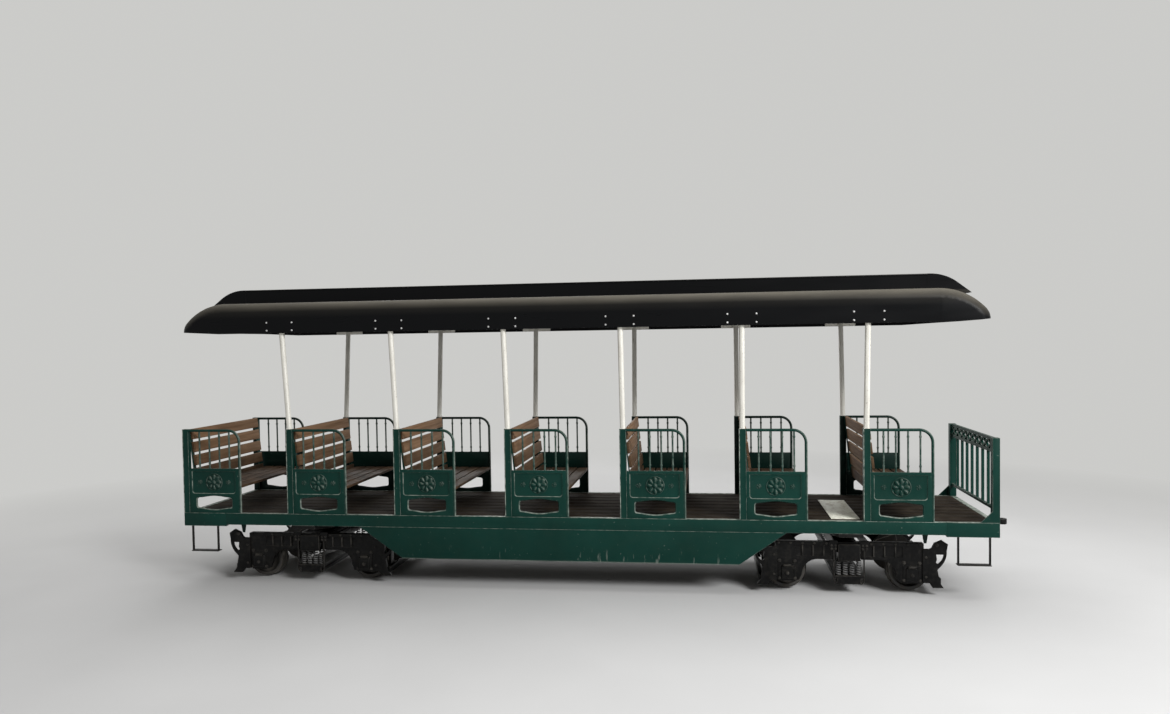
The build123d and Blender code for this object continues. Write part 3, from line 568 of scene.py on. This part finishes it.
# %% Frame and floor
plain = {  # the finish of each node and the width of its bevels
    "side_sills": (green, 0.0022), "end_frames": (green, 0.0022), "side_skirts": (green, 0.0012),
    "bench_frames": (green, 0.0012), "cross_bearers": (frame_black, 0.002),
    "centre_sill": (frame_black, 0.0015), "body_bolsters": (frame_black, 0.002),
    "stirrup_steps": (frame_black, 0.0015), "drawbars": (frame_black, 0.0020),
    "floor_boards": (floor_wood, 0.0022), "cover_plate": (cover_grey, 0.0015),
    "roof_bows": (roof_black, 0.002), "roof_pipes": (white, 0.0010),
}
skin = 0.003  # faces this near to a level still count as lying on it
tab_drop, end_joint_x, board_pitch, first_board = 0.063, 3.1, 0.137, 40
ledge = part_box("floor_boards")[1][2] - skin
tab_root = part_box("side_sills")[0][2] + tab_drop


def ledge_highlight(face):
    """A painted highlight along the ledge, and none where a sill and an end frame butt together."""
    if abs(face.normal.x) > 0.3 and abs(face.center.x) < end_joint_x:
        return 0.0
    return 1.6 if face.normal.z > 0.9 and face.center.z > ledge else None


for node, (material, width) in plain.items():
    piece = cad_copy(node, node + "_dressed")
    if node == "side_sills":
        edit(piece)
        bpy.ops.mesh.bisect(plane_co=(0, 0, tab_root), plane_no=(0, 0, 1))
        done()
    soften(piece, width)
    if material is green:
        store(piece, "wear_and_highlight", ledge_highlight)
    if node == "side_sills":
        # The tabs under the sills get painted shade, nearly black.
        store(piece, "inner", lambda face: 1.5 if face.center.z < tab_root - skin else None)
    if node == "floor_boards":
        store(piece, "board", lambda face: round(face.center.y / board_pitch) + first_board)
    wear(piece, material, node)
print(len(plain), "plain pieces softened")

# %% [markdown]
# The roof is thin sheet, rolled at the shoulders. One narrow facet along the cut edges is enough, and
# only corners over 60 degrees get it, so that the rolled parts stay smooth.

# %% Roof sheets
for node in ("roof_sides", "roof_deck", "roof_caps"):
    sheet = soften(cad_copy(node, node + "_dressed"), 0.0012, segments=1, angle=60)
    wear(sheet, roof_black, node)
    print(sheet.name, "of", len(sheet.data.polygons), "faces")

# %% [markdown]
# Each bench is nine planed slats. Their long edges are rounded by hand, about 4 mm, so the bevel has
# three segments. A slat's number comes from its height on the back or its place on the seat.

# %% Bench slats
seat_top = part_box("bench_1")[0][2] + 0.03
back_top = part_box("bench_1")[1][2]
back_pitch, seat_pitch, numbers_per_bench = 0.110, 0.101, 31


def slat_grime_and_shade(face):
    """1 where the wood is darkest: seats, end grain and the lower slats, most on their front. The end
    grain holds grime, the seats and lower slats grime and painted shade.
    """
    height = (face.center.z - seat_top) / (back_top - seat_top)
    if abs(face.normal.y) > 0.9:
        return 0.8
    if height < 0.15:
        return 1.0
    return min(1.0, max(0.0, 1.1 - 1.25 * height)) * (1.0 if face.normal.x > 0 else 0.5)


def slat_number(face):
    on_back = face.center.z > seat_top
    return round(face.center.z / back_pitch if on_back else face.center.x / seat_pitch)


for bay in range(1, 8):
    node = f"bench_{bay}"
    slats = even_wear_and_highlight(soften(cad_copy(node, f"bench_{bay}_slats"), 0.0042, 3), 0.0)
    store(slats, "grime", slat_grime_and_shade)
    store(slats, "board", lambda face: numbers_per_bench * bay + slat_number(face))
    wear(slats, slat_wood, node)
print("7 benches of slats, each with", len(slats.data.polygons), "faces")

# %% [markdown]
# A side panel is a casting with a round rail, four turned balusters, and a plate with a hand slot
# below a sunk field, where a raised rosette stands. All fourteen are alike, so one is modelled on
# the near side and copied to each place. Its corners come from the CAD panel of the first bay.

# %% Places on a side panel
first_low, first_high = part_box("side_panel_near_1")
edge, outer_y, panel_bottom = first_low
panel_end, panel_top = first_high[0], first_high[2]
post_width, post_depth = 0.052, 0.040
rail_bar, rail_corner = 0.022, 0.106
rail_middle = outer_y + 0.001 + rail_bar / 2
tube_x = panel_end - rail_bar / 2
plate_face, plate_back = outer_y + 0.003, outer_y + 0.014
plate_height = 0.370
bite = 0.004  # how far the rail, the balusters and the plate reach into what holds them
print("panel from x", round(edge, 4), "to", round(panel_end, 4), "top", round(panel_top, 4))

# %% [markdown]
# The post is a square casting with a shallow sunk face and a cap. Blocks laid on a block would hide
# faces inside it. So an inset draws the border, and moving the face that is left makes the step.

# %% Post
def block(name, low, high):
    """A block between two corners, its place in its mesh."""
    low, high = Vector(low), Vector(high)
    nothing_selected()
    bpy.ops.mesh.primitive_cube_add(size=1, location=(low + high) / 2)
    obj = named(name)
    obj.scale = high - low
    return settle(obj)


def sink(obj, test, border, step):
    """Inset the faces that pass the test by the border, and move what is inside it by the step."""
    pick(obj, test)
    bpy.ops.mesh.inset(thickness=border)
    bpy.ops.transform.translate(value=step)
    done()


def panel_post():
    corner = (edge + post_width, outer_y + post_depth, panel_top)
    post = block("post", (edge, outer_y, panel_bottom), corner)
    sink(post, lambda centre, normal: normal.y < -0.9, 0.006, (0, 0.002, 0))
    sink(post, lambda centre, normal: normal.z > 0.9, 0.005, (0, 0, -0.0015))
    soften(post, 0.0016)
    # A painted highlight on the edge bevels that face along +X.
    return store(post, "wear_and_highlight", lambda face: 1.6 if 0.3 < face.normal.x < 0.95 else None)


trial_post = panel_post()
print("post of", len(trial_post.data.polygons), "faces")

# %% [markdown]
# The rail is a round bar. It could be a curve with a bevel, but a circle that is extruded up, spun
# round the corner and extruded on needs no more steps and keeps an even ring of points.

# %% Arched rail
def extrude(x=0.0, y=0.0, z=0.0):
    bpy.ops.mesh.extrude_region_move(TRANSFORM_OT_translate={"value": (x, y, z)})


def arched_rail():
    """A round bar drawn up from the floor, turned through the corner and on to the post."""
    nothing_selected()
    bpy.ops.mesh.primitive_circle_add(
        vertices=14, radius=rail_bar / 2, fill_type="NGON",
        location=(tube_x, rail_middle, panel_bottom),
    )
    rail = settle(named("rail"))
    turn = rail_corner - rail_bar / 2
    centre = (tube_x - turn, rail_middle, panel_top - rail_corner)
    edit(rail)
    extrude(z=panel_top - rail_corner - panel_bottom)
    bpy.ops.mesh.spin(steps=9, angle=math.radians(90), center=centre, axis=(0, 1, 0))
    extrude(x=-(tube_x - turn - (edge + post_width) + bite))
    done()
    shade(outwards(rail), 50)
    # A painted highlight on the faces that point along +X.
    return store(rail, "wear_and_highlight", lambda face: 1.1 * max(0.0, face.normal.x))


trial_rail = arched_rail()
print("rail of", len(trial_rail.data.polygons), "faces")

# %% [markdown]
# A baluster is turned: a plain rod with a bead near each end. A lathe makes the real one, so here a
# profile of radius against height is spun round its own axis.

# %% Balusters
def turned(name, profile, foot, steps=12):
    """Spin a profile of (radius, height) points round the upright line through foot."""
    mesh = bpy.data.meshes.new(name)
    points = [(foot[0] + radius, foot[1], foot[2] + height) for radius, height in profile]
    mesh.from_pydata(points, [(i, i + 1) for i in range(len(points) - 1)], [])
    obj = bpy.data.objects.new(name, mesh)
    bpy.context.scene.collection.objects.link(obj)
    edit(obj, "VERT")
    bpy.ops.mesh.spin(steps=steps, angle=math.radians(360), center=foot, axis=(0, 0, 1))
    done()
    return shade(outwards(obj), 50)


def baluster(x):
    rod, collar, bead_place = 0.007, 0.009, 0.044
    bead = ((rod, -0.010), (0.0088, -0.006), (0.0099, 0), (0.0088, 0.006), (rod, 0.010))
    low = panel_bottom + plate_height
    tall = panel_top - rail_bar - low + bite
    profile = [(0, 0), (collar, 0), (collar, 0.006), (rod, 0.010)]
    for middle in (bead_place, tall - bead_place):
        profile += [(radius, middle + along) for radius, along in bead]
    profile += [(rod, tall), (0, tall)]
    # The balusters are lightened evenly by a painted highlight.
    return even_wear_and_highlight(turned("baluster", profile, (x, rail_middle, low)), 0.45)


baluster_places = (0.147, 0.235, 0.323, 0.411)
balusters = [baluster(edge + place) for place in baluster_places]
print(len(balusters), "balusters of", len(balusters[0].data.polygons), "faces")

# %% [markdown]
# The plate is a slab with two pressed openings, a slot right through it and a shallow field. Both
# have sloping walls that catch the light. Insets can't follow a bowed outline on a single face, so
# each is cut by a stencil: a flat outline drawn out backwards at its own size, with a wider rim in
# front. The slot's long edges bow outwards in the middle, as a bell curve does.

# %% Stencils
touching = 1e-5  # two places nearer than this are one place


def outline(name, left, right, low, high, bow, corner, corners):
    """A flat upright outline with bowed long edges and two or four rounded corners."""
    left, right = edge + left, edge + right
    low, high = panel_bottom + low, panel_bottom + high
    nothing_selected()
    middle = ((left + right) / 2, plate_face, (low + high) / 2)
    bpy.ops.mesh.primitive_plane_add(size=1, location=middle, rotation=(math.radians(90), 0, 0))
    flat = named(name)
    flat.scale = (right - left, high - low, 1)
    settle(flat)
    pick(flat, lambda co: co.z < middle[2] or corners == 4, "VERT")
    bpy.ops.mesh.bevel(offset=corner, segments=5, affect="VERTICES")
    done()

    def long_level_edge(a, b):
        outer = abs(a.z - middle[2]) > 0.1 * (high - low)
        return abs(a.z - b.z) < touching and outer and abs(a.x - b.x) > 0.1

    pick(flat, long_level_edge, "EDGE")
    bpy.ops.mesh.subdivide(number_cuts=11)
    done()
    for vertex in flat.data.vertices:
        swell = 0.5 + 0.5 * math.cos(math.tau * (vertex.co.x - middle[0]) / (right - left))
        vertex.co.z += math.copysign(bow * swell, vertex.co.z - middle[2])
    return flat


def stencil(flat, back, slope, width):
    """Draw the outline out to the back, and flare it from the slope's foot to the front."""
    front = plate_face - 0.002
    centre = sum((Vector(corner) for corner in flat.bound_box), Vector()) / 8
    size_x, _, size_z = flat.dimensions
    edit(flat)
    bpy.ops.transform.translate(value=(0, back - plate_face, 0))
    extrude(y=slope - back)
    extrude(y=front - slope)
    done()
    for vertex in flat.data.vertices:
        if abs(vertex.co.y - front) < touching:
            vertex.co.x = centre.x + (vertex.co.x - centre.x) * (1 + 2 * width / size_x)
            vertex.co.z = centre.z + (vertex.co.z - centre.z) * (1 + 2 * width / size_z)
    return outwards(flat)


# %% [markdown]
# The Boolean modifier takes both stencils out of the slab. The sloping walls that face up or forwards
# get a painted highlight, stored with the wear, and show as light lines from afar.

# %% Plate with its slot and its sunk field
field_depth = 0.0055


def panel_plate():
    plate = block(
        "plate",
        (edge + post_width - 0.001, plate_face, panel_bottom),
        (panel_end - rail_bar + bite, plate_back, panel_bottom + plate_height),
    )
    slot = outline(
        "slot", left=0.118, right=0.427, low=0.045, high=0.127, bow=0.015, corner=0.018, corners=4
    )
    field = outline(
        "field", left=0.080, right=0.457, low=0.165, high=0.344, bow=0, corner=0.022, corners=2
    )
    for cutter in (
        stencil(slot, back=plate_back + 0.02, slope=plate_face + 0.006, width=0.010),
        stencil(field, back=plate_face + field_depth, slope=plate_face + 0.0050, width=0.006),
    ):
        apply(plate, "BOOLEAN", object=cutter, operation="DIFFERENCE", solver="EXACT")
        bpy.data.objects.remove(cutter)
    soften(plate, 0.0012, 2, 30)

    # A painted highlight on the walls that face up or forwards.
    def wall_highlight(face):
        forwards = face.normal.x > 0.3 and face.center.x < panel_end - 0.04
        return 1.0 if forwards or face.normal.z > 0.3 else None

    return store(plate, "wear_and_highlight", wall_highlight)


trial_plate = panel_plate()
print("plate of", len(trial_plate.data.polygons), "faces")

# %% [markdown]
# The relief is a plain rosette: eight plump petals round a boss on a low dome, inside a ring, with
# a small one on each side. It could be sculpted, but petals are all alike, so one recipe does: a
# sphere is pressed flat and drawn out to its tip. All sizes are shares of the rosette's radius.

# %% Rosettes
def dome(name, middle, radius, proud):
    """A sphere pressed flat against the plate."""
    nothing_selected()
    bpy.ops.mesh.primitive_uv_sphere_add(segments=20, ring_count=8, radius=radius, location=middle)
    low_dome = named(name)
    low_dome.scale.y = proud / radius
    return shade(settle(low_dome), 60)


def petal(middle, angle, inner, outer, width, proud):
    nothing_selected()
    bpy.ops.mesh.primitive_uv_sphere_add(segments=12, ring_count=8, radius=1, location=(0, 0, 0))
    leaf = named("petal")
    for vertex in leaf.data.vertices:
        co = vertex.co
        taper = 0.62 + 0.38 * co.x
        co.y, co.z = co.y * proud * (0.8 + 0.2 * co.x), co.z * width * taper
        co.x = (inner + outer) / 2 + co.x * (outer - inner) / 2
    leaf.data.transform(Matrix.Rotation(angle, 4, "Y"))
    leaf.data.transform(Matrix.Translation(middle))
    return shade(leaf, 60)


def torus(middle, rotation, radius, wire, segments):
    nothing_selected()
    bpy.ops.mesh.primitive_torus_add(
        major_radius=radius, minor_radius=wire, major_segments=segments, minor_segments=8,
        location=middle, rotation=rotation,
    )
    return shade(settle(named("ring")), 60)


def rosette(middle, radius, petals, proud):
    pieces = [
        dome("base", middle, radius * 0.70, proud * 0.45),
        dome("boss", middle, radius * 0.26, proud * 1.2),
    ]
    for index in range(petals):
        angle = math.tau * index / petals
        pieces.append(petal(middle, angle, radius * 0.20, radius * 0.90, radius * 0.28, proud))
    pieces.append(torus(middle, (math.radians(90), 0, 0), radius * 0.94, radius * 0.06, 36))
    relief = joined(pieces, "rosette")
    for vertex in relief.data.vertices:
        vertex.co.y = min(vertex.co.y, middle[1] + 0.002)
    # A painted highlight on the faces that point along +X and up.
    return store(relief, "wear_and_highlight", lambda face: max(0.0, 0.80 * face.normal.x + 0.20 * face.normal.z))


rosettes = (  # place from the rosette in the middle, radius, petals, height
    (0, 0.074, 8, 0.017), (-0.125, 0.020, 5, 0.006), (0.125, 0.020, 5, 0.006),
)
field_middle_x, field_middle_z = edge + 0.271, panel_bottom + 0.256
reliefs = []
for place, radius, petals, proud in rosettes:
    middle = (field_middle_x + place, plate_face + field_depth, field_middle_z)
    reliefs.append(rosette(middle, radius, petals, proud))
print(len(reliefs), "rosettes, the large one of", len(reliefs[0].data.polygons), "faces")

# %% [markdown]
# The pieces of the panel are joined before they are copied, so that each place gets one object. The
# far side is a mirror image. Faces that point into the coach store painted shade, nearly black.

# %% Copy the panel to every place
flip = Matrix.Scale(-1, 4, Vector((0, 1, 0)))
panel = joined([trial_post, trial_rail, trial_plate] + balusters + reliefs, "panel_pattern")
# Painted shade on the faces that point into the coach.
store(panel, "inner", lambda face: 1.0 if face.normal.y > 0.4 else 0.0)
for bay in range(1, 8):
    for side, turn in (("near", Matrix.Identity(4)), ("far", flip)):
        node = f"side_panel_{side}_{bay}"
        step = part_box(node)[0][0] - first_low[0]
        wear(copied(panel, shift(step) @ turn), green, node).name = f"panel_{side}_{bay}"
print("14 panels of", len(panel.data.polygons), "faces placed")
bpy.data.objects.remove(panel)

# %% [markdown]
# The end rail is a row of flat bars under a lattice band. Its solid has them all, so a softened copy
# stays, and each crossing of the lattice gains the ring that holds it together.

# %% End rail
rail_low, rail_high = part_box("end_rail")
band_steps, band_drop = 9, 0.0565
band_x, band_z = rail_high[0] - post_width / 2, rail_high[2] - band_drop
span = rail_high[1] - rail_low[1] - 2 * post_width
end_rail = soften(cad_copy("end_rail", "end_rail_bars"), 0.0016)
rings = []
for index in range(band_steps):
    y = rail_low[1] + post_width + span * (index + 0.5) / band_steps
    rings.append(torus((band_x, y, band_z), (0, math.radians(90), 0), 0.021, 0.0042, 24))
wear(joined([end_rail] + rings, "end_rail_dressed"), green, "end_rail")
print("end rail with", len(rings), "rings")

# %% [markdown]
# Bolts make cast iron look like a machine. A bolt is a six-sided head with a bevelled top on a thin
# washer. A smooth cylinder would read as a rivet, so the head keeps its six flats. It is modelled
# once for each size and copied.

# %% Bolts
def disc(name, sides, radius, depth):
    """A short cylinder that stands on the origin and points towards -Y."""
    nothing_selected()
    bpy.ops.mesh.primitive_cylinder_add(
        vertices=sides, radius=radius, depth=depth, location=(0, -depth / 2, 0),
        rotation=(math.radians(90), 0, 0),
    )
    return settle(named(name))


def bolt(head, depth):
    """A bolt head across its corners and its washer, the seat at the origin."""
    washer = soften(disc("washer", 18, head * 0.62, depth * 0.3), depth * 0.08, 1)
    nut = soften(disc("nut", 6, head / 2, depth), depth * 0.18, 2)
    return joined([washer, nut], "bolt")


small_bolt, large_bolt = bolt(0.016, 0.008), bolt(0.024, 0.012)
print("a bolt has", len(small_bolt.data.polygons), "faces")

# %% [markdown]
# The ribs of a truck, the hinged lids of its axle boxes and their bolts are too small for the
# solids. They are laid on the outer face of each side frame, where they catch light. Both ends of a
# side frame are alike, so a table says once what lies where.

# %% Fittings of a side frame
frame_face, frame_top, raised = 0.468, 0.400, 0.016
hinge_pin = soften(block("hinge", (-0.030, -0.016, 0), (0.030, 0, 0.016)), 0.004, 3)
rib = soften(block("rib", (-0.005, 0, 0.020), (0.005, 0.012, 0.116)), 0.0015)
fitting_rows = [  # pattern, places from the truck's middle, height, how far the seat stands proud
    (small_bolt, (0.165, 0.255, 0.345, 0.435, 0.525), frame_top - 0.008, 0.0),
    (rib, (0.185, 0.265, 0.345), frame_top - 0.132, 0.0),
    (small_bolt, (0.100, 0.130), frame_top - 0.020, raised),
    (small_bolt, (0.100, 0.130), frame_top - 0.046, raised),
    (large_bolt, (0.404, 0.520), 0.118, 0.0),
    (large_bolt, (0.404, 0.520), 0.252, 0.0),
    (hinge_pin, (0.462,), 0.212, 0.010),
    (large_bolt, (0.462,), 0.160, 0.022),
    (small_bolt, (0.562,), 0.300, raised),
    (small_bolt, (0.562,), 0.150, raised),
    (large_bolt, (0.640,), 0.395, raised),
]


def frame_fittings(centre, side):
    """Ribs, lid hinges and bolts of one side frame, facing away from the coach."""
    turn = Matrix.Identity(4) if side < 0 else flip
    fittings = []
    for end in (-1, 1):
        for pattern, places, z, proud in fitting_rows:
            for x in places:
                move = shift(centre + end * x, side * (frame_face + proud), z)
                # The fittings are lightened evenly: wear with a painted highlight.
                fittings.append(even_wear_and_highlight(copied(pattern, move @ turn), 0.7))
    return fittings


print(sum(2 * len(row[1]) for row in fitting_rows), "fittings for each side frame")

# %% [markdown]
# The trucks are heavy castings, whose corners are rounder than those of rolled steel. Their solids
# have the right shapes, so softened copies do, and each side frame is joined with its fittings.

# %% Truck castings
for end in ("front", "rear"):
    for part in ("truck_frame", "truck_bolster", "spring_plank", "brake_gear"):
        node = f"{part}_{end}"
        casting = soften(cad_copy(node, node + "_dressed"), 0.0030, 2, 35)
        if part == "truck_frame":
            low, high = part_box(node)
            centre = (low[0] + high[0]) / 2
            fittings = frame_fittings(centre, -1) + frame_fittings(centre, 1)
            casting = joined([casting] + fittings, node + "_dressed")
        wear(casting, truck_black, node)
        print(casting.name, "of", len(casting.data.polygons), "faces")
for pattern in (small_bolt, large_bolt, hinge_pin, rib):
    bpy.data.objects.remove(pattern)

# %% [markdown]
# A coil spring is one wire. A curve could follow a helix of points, but a Screw modifier turns a
# small circle about the Z axis while it climbs, which is just how the wire is wound. Its two ends
# are then closed.

# %% Coil springs
def coil(foot, height, radius, wire, turns):
    """A coil of wire standing at foot, its ends closed."""
    nothing_selected()
    bpy.ops.mesh.primitive_circle_add(
        vertices=10, radius=wire / 2, location=(radius, 0, 0), rotation=(math.radians(90), 0, 0)
    )
    spring = settle(named("coil"))
    pitch = (height - wire) / turns
    apply(
        spring, "SCREW", axis="Z", angle=-math.tau, screw_offset=pitch, iterations=turns, steps=20,
        render_steps=20, use_merge_vertices=False,
    )
    edit(spring, "EDGE", everything=False)
    bpy.ops.mesh.select_non_manifold()
    bpy.ops.mesh.fill_holes(sides=0)
    done()
    spring.data.transform(Matrix.Translation(Vector(foot) + Vector((0, 0, wire / 2))))
    return shade(outwards(spring), 60)


half_pack, coil_step = 0.022, 0.051
for end in ("front", "rear"):
    low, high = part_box(f"truck_springs_{end}")
    middle_x, spring_y = (low[0] + high[0]) / 2, high[1] - half_pack
    first = coil((0, 0, low[2]), high[2] - low[2], radius=0.0145, wire=0.0110, turns=6)
    coils = []
    for side in (-1, 1):
        for index in range(4):
            place = shift(middle_x + (index - 1.5) * coil_step, side * spring_y)
            coils.append(copied(first, place))
    bpy.data.objects.remove(first)
    wear(joined(coils, f"springs_{end}"), spring_grey, f"truck_springs_{end}")
print("springs of", len(coils), "coils on each truck")

# %% [markdown]
# The wheels are true discs as solids, so they need soft edges only. Each vertex stores its distance
# from the axle, and the finish reads that to find the bright tread.

# %% Wheels
for end in ("front", "rear"):
    for place in ("outer", "inner"):
        node = f"wheelset_{end}_{place}"
        low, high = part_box(node)
        axle_x, axle_z = (low[0] + high[0]) / 2, (low[2] + high[2]) / 2
        wheels = soften(cad_copy(node, node + "_dressed"), 0.0022, 2, 35)
        reach = wheels.data.attributes.new("reach", "FLOAT", "POINT")
        for index, vertex in enumerate(wheels.data.vertices):
            reach.data[index].value = math.hypot(vertex.co.x - axle_x, vertex.co.z - axle_z)
        wear(wheels, wheel_black, node)
        print(node, "turns about x", round(axle_x, 3), "z", round(axle_z, 3))

# %% [markdown]
# Four bolts hold each pipe's bracket to the roof's fascia. The paint has flaked off their heads, so
# they wear bare steel and not the roof's black.

# %% Bolts on the fascia
eave_z, fascia_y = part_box("roof_sides")[0][2], 0.701
fascia_bolt, beside_pipe, above_eave = bolt(0.0118, 0.006), 0.107, (0.022, 0.085)
bolts = []
for bay in range(2, 8):
    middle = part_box(f"side_panel_near_{bay}")[0][0] + post_width / 2
    for side, turn in ((-1, Matrix.Identity(4)), (1, flip)):
        for dx in (-beside_pipe, beside_pipe):
            for dz in above_eave:
                place = shift(middle + dx, side * fascia_y, eave_z + dz)
                bolts.append(copied(fascia_bolt, place @ turn))
bpy.data.objects.remove(fascia_bolt)
bolt_steel = iron("bolt_steel", 0.36, (0.42, 0.40, 0.36, 1), 0.3, 0.38, 200)
wear(joined(bolts, "fascia_bolts"), bolt_steel, body="root")
print(len(bolts), "bolts on the fascia")

# %% [markdown]
# The sheet of the raised deck is folded over at both sides, which leaves a thin lip along its top. A
# slim block with softened edges is enough for a fold that is 12 mm tall.

# %% Deck lip
deck_low, deck_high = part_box("roof_deck")
lip_half, lip_foot, lip_top = 0.003, deck_high[2] - 0.013, deck_high[2] - 0.001
lips = []
for side in (-1, 1):
    y = side * (deck_high[1] + 0.002)
    lip = block("lip", (deck_low[0], y - lip_half, lip_foot), (deck_high[0], y + lip_half, lip_top))
    lips.append(soften(lip, 0.0012))
wear(joined(lips, "deck_lips"), roof_black, body="root")
print("deck lips", round(deck_high[0] - deck_low[0], 2), "m long")

# %% [markdown]
# The stage is a plain pale floor. A bent backdrop would do, but a floor whose far part fades into
# the backdrop's own colour shows no horizon from any side.

# %% Floor
BACKDROP = (0.60, 0.60, 0.585, 1)
FADE_START, FADE_END = 4.5, 9


def mixed_shader(tree, factor, first, second, surface):
    """Mix two shaders by the factor and send them to the output's surface."""
    mixer = tree.nodes.new("ShaderNodeMixShader")
    for source, socket in zip((factor, first, second), mixer.inputs):
        tree.links.new(source, socket)
    tree.links.new(mixer.outputs[0], surface)


nothing_selected()
bpy.ops.mesh.primitive_plane_add(size=240, location=(0, 0, cad_low[2]))
floor = settle(named("floor"))
ground = Finish("floor_pale", Roughness=0.9, Specular_IOR_Level=0.2)
ground.set(Base_Color=ground.mix(ground.fit(ground.noise(0.6, 3), 0.3, 0.7), grey(0.50), grey(0.54)))
distance = ground.node("VectorMath", {"operation": "LENGTH"}, [ground.place], "Value")
glow = ground.node("Emission", {}, {"Color": BACKDROP, "Strength": 1.0})
mixed_shader(
    ground.tree, ground.fit(distance, FADE_START, FADE_END).socket, ground.shader.outputs[0],
    glow.socket, ground.tree.nodes["Material Output"].inputs["Surface"],
)
floor.data.materials.append(ground.ready())

# %% [markdown]
# The room lights the coach evenly from all sides. What looks at it directly, in a mirror or through
# glass sees the paler backdrop, which adds no light. Three wide lamps add the soft top light, the
# brighter front and a little on the back.

# %% Room and lamps
world = bpy.data.worlds.new("room")
bpy.context.scene.world = world
world.use_nodes = True
nodes_in, links = world.node_tree.nodes, world.node_tree.links
room, backdrop = nodes_in["Background"], nodes_in.new("ShaderNodeBackground")
room.inputs["Color"].default_value, room.inputs["Strength"].default_value = (1.0, 0.985, 0.95, 1), 0.30
backdrop.inputs["Color"].default_value, backdrop.inputs["Strength"].default_value = BACKDROP, 1.0
rays = nodes_in.new("ShaderNodeLightPath")
shown = rays.outputs["Is Camera Ray"]
for ray in ("Is Glossy Ray", "Is Transmission Ray"):
    added = nodes_in.new("ShaderNodeMath")
    links.new(shown, added.inputs[0])
    links.new(rays.outputs[ray], added.inputs[1])
    shown = added.outputs[0]
mixed_shader(
    world.node_tree, shown, room.outputs[0], backdrop.outputs[0],
    nodes_in["World Output"].inputs["Surface"],
)


def lamp(name, place, target, size, power):
    """A rectangular lamp at place that shines at target."""
    light = bpy.data.objects.new(name, bpy.data.lights.new(name, "AREA"))
    light.data.shape = "RECTANGLE"
    light.data.size, light.data.size_y = size
    light.data.energy = power
    light.location = place
    light.rotation_euler = (Vector(target) - Vector(place)).to_track_quat("-Z", "Y").to_euler()
    bpy.context.scene.collection.objects.link(light)
    print(name, "of", power, "W")


lamp("top_lamp", (0.5, 1.0, 7.5), (0, 0, 1), (14, 7), 600)
lamp("front_lamp", (7.6, -7.6, 6.6), (0.5, 0, 1), (4, 3), 1250)
lamp("back_lamp", (-3.0, 9.5, 5.5), (0, 0, 1), (6, 3), 280)

# %% [markdown]
# The camera stands where the photograph was taken. Its turn and its focal length come from a fit to
# points that the frame and the photograph share, so they are given as angles and pixels.

# %% Camera
YAW, PITCH, ROLL = (math.radians(angle) for angle in (-7.96, -1.78, -0.86))
CAMERA_PLACE = (1.108, -7.2865, 1.951)
FOCAL_PIXELS, PHOTO_WIDTH, PHOTO_HEIGHT, CENTRE_ROW = 869.8, 1170, 714, 370.5
SENSOR_WIDTH = 36
camera = bpy.data.objects.new("camera", bpy.data.cameras.new("camera"))
forward = Vector((math.sin(YAW) * math.cos(PITCH), math.cos(YAW) * math.cos(PITCH), math.sin(PITCH)))
right = Vector((math.cos(YAW), -math.sin(YAW), 0))
up = right.cross(forward)
right, up = (
    right * math.cos(ROLL) + up * math.sin(ROLL),
    up * math.cos(ROLL) - right * math.sin(ROLL),
)
facing = Matrix((right, up, -forward)).transposed().to_4x4()
camera.matrix_world = Matrix.Translation(CAMERA_PLACE) @ facing
camera.data.sensor_width = SENSOR_WIDTH
camera.data.lens = SENSOR_WIDTH * FOCAL_PIXELS / PHOTO_WIDTH
camera.data.shift_y = (CENTRE_ROW - PHOTO_HEIGHT / 2) / PHOTO_WIDTH
bpy.context.scene.collection.objects.link(camera)
bpy.context.scene.camera = camera
bpy.context.scene.view_settings.view_transform = "Standard"
print("camera lens", round(camera.data.lens, 2), "mm")
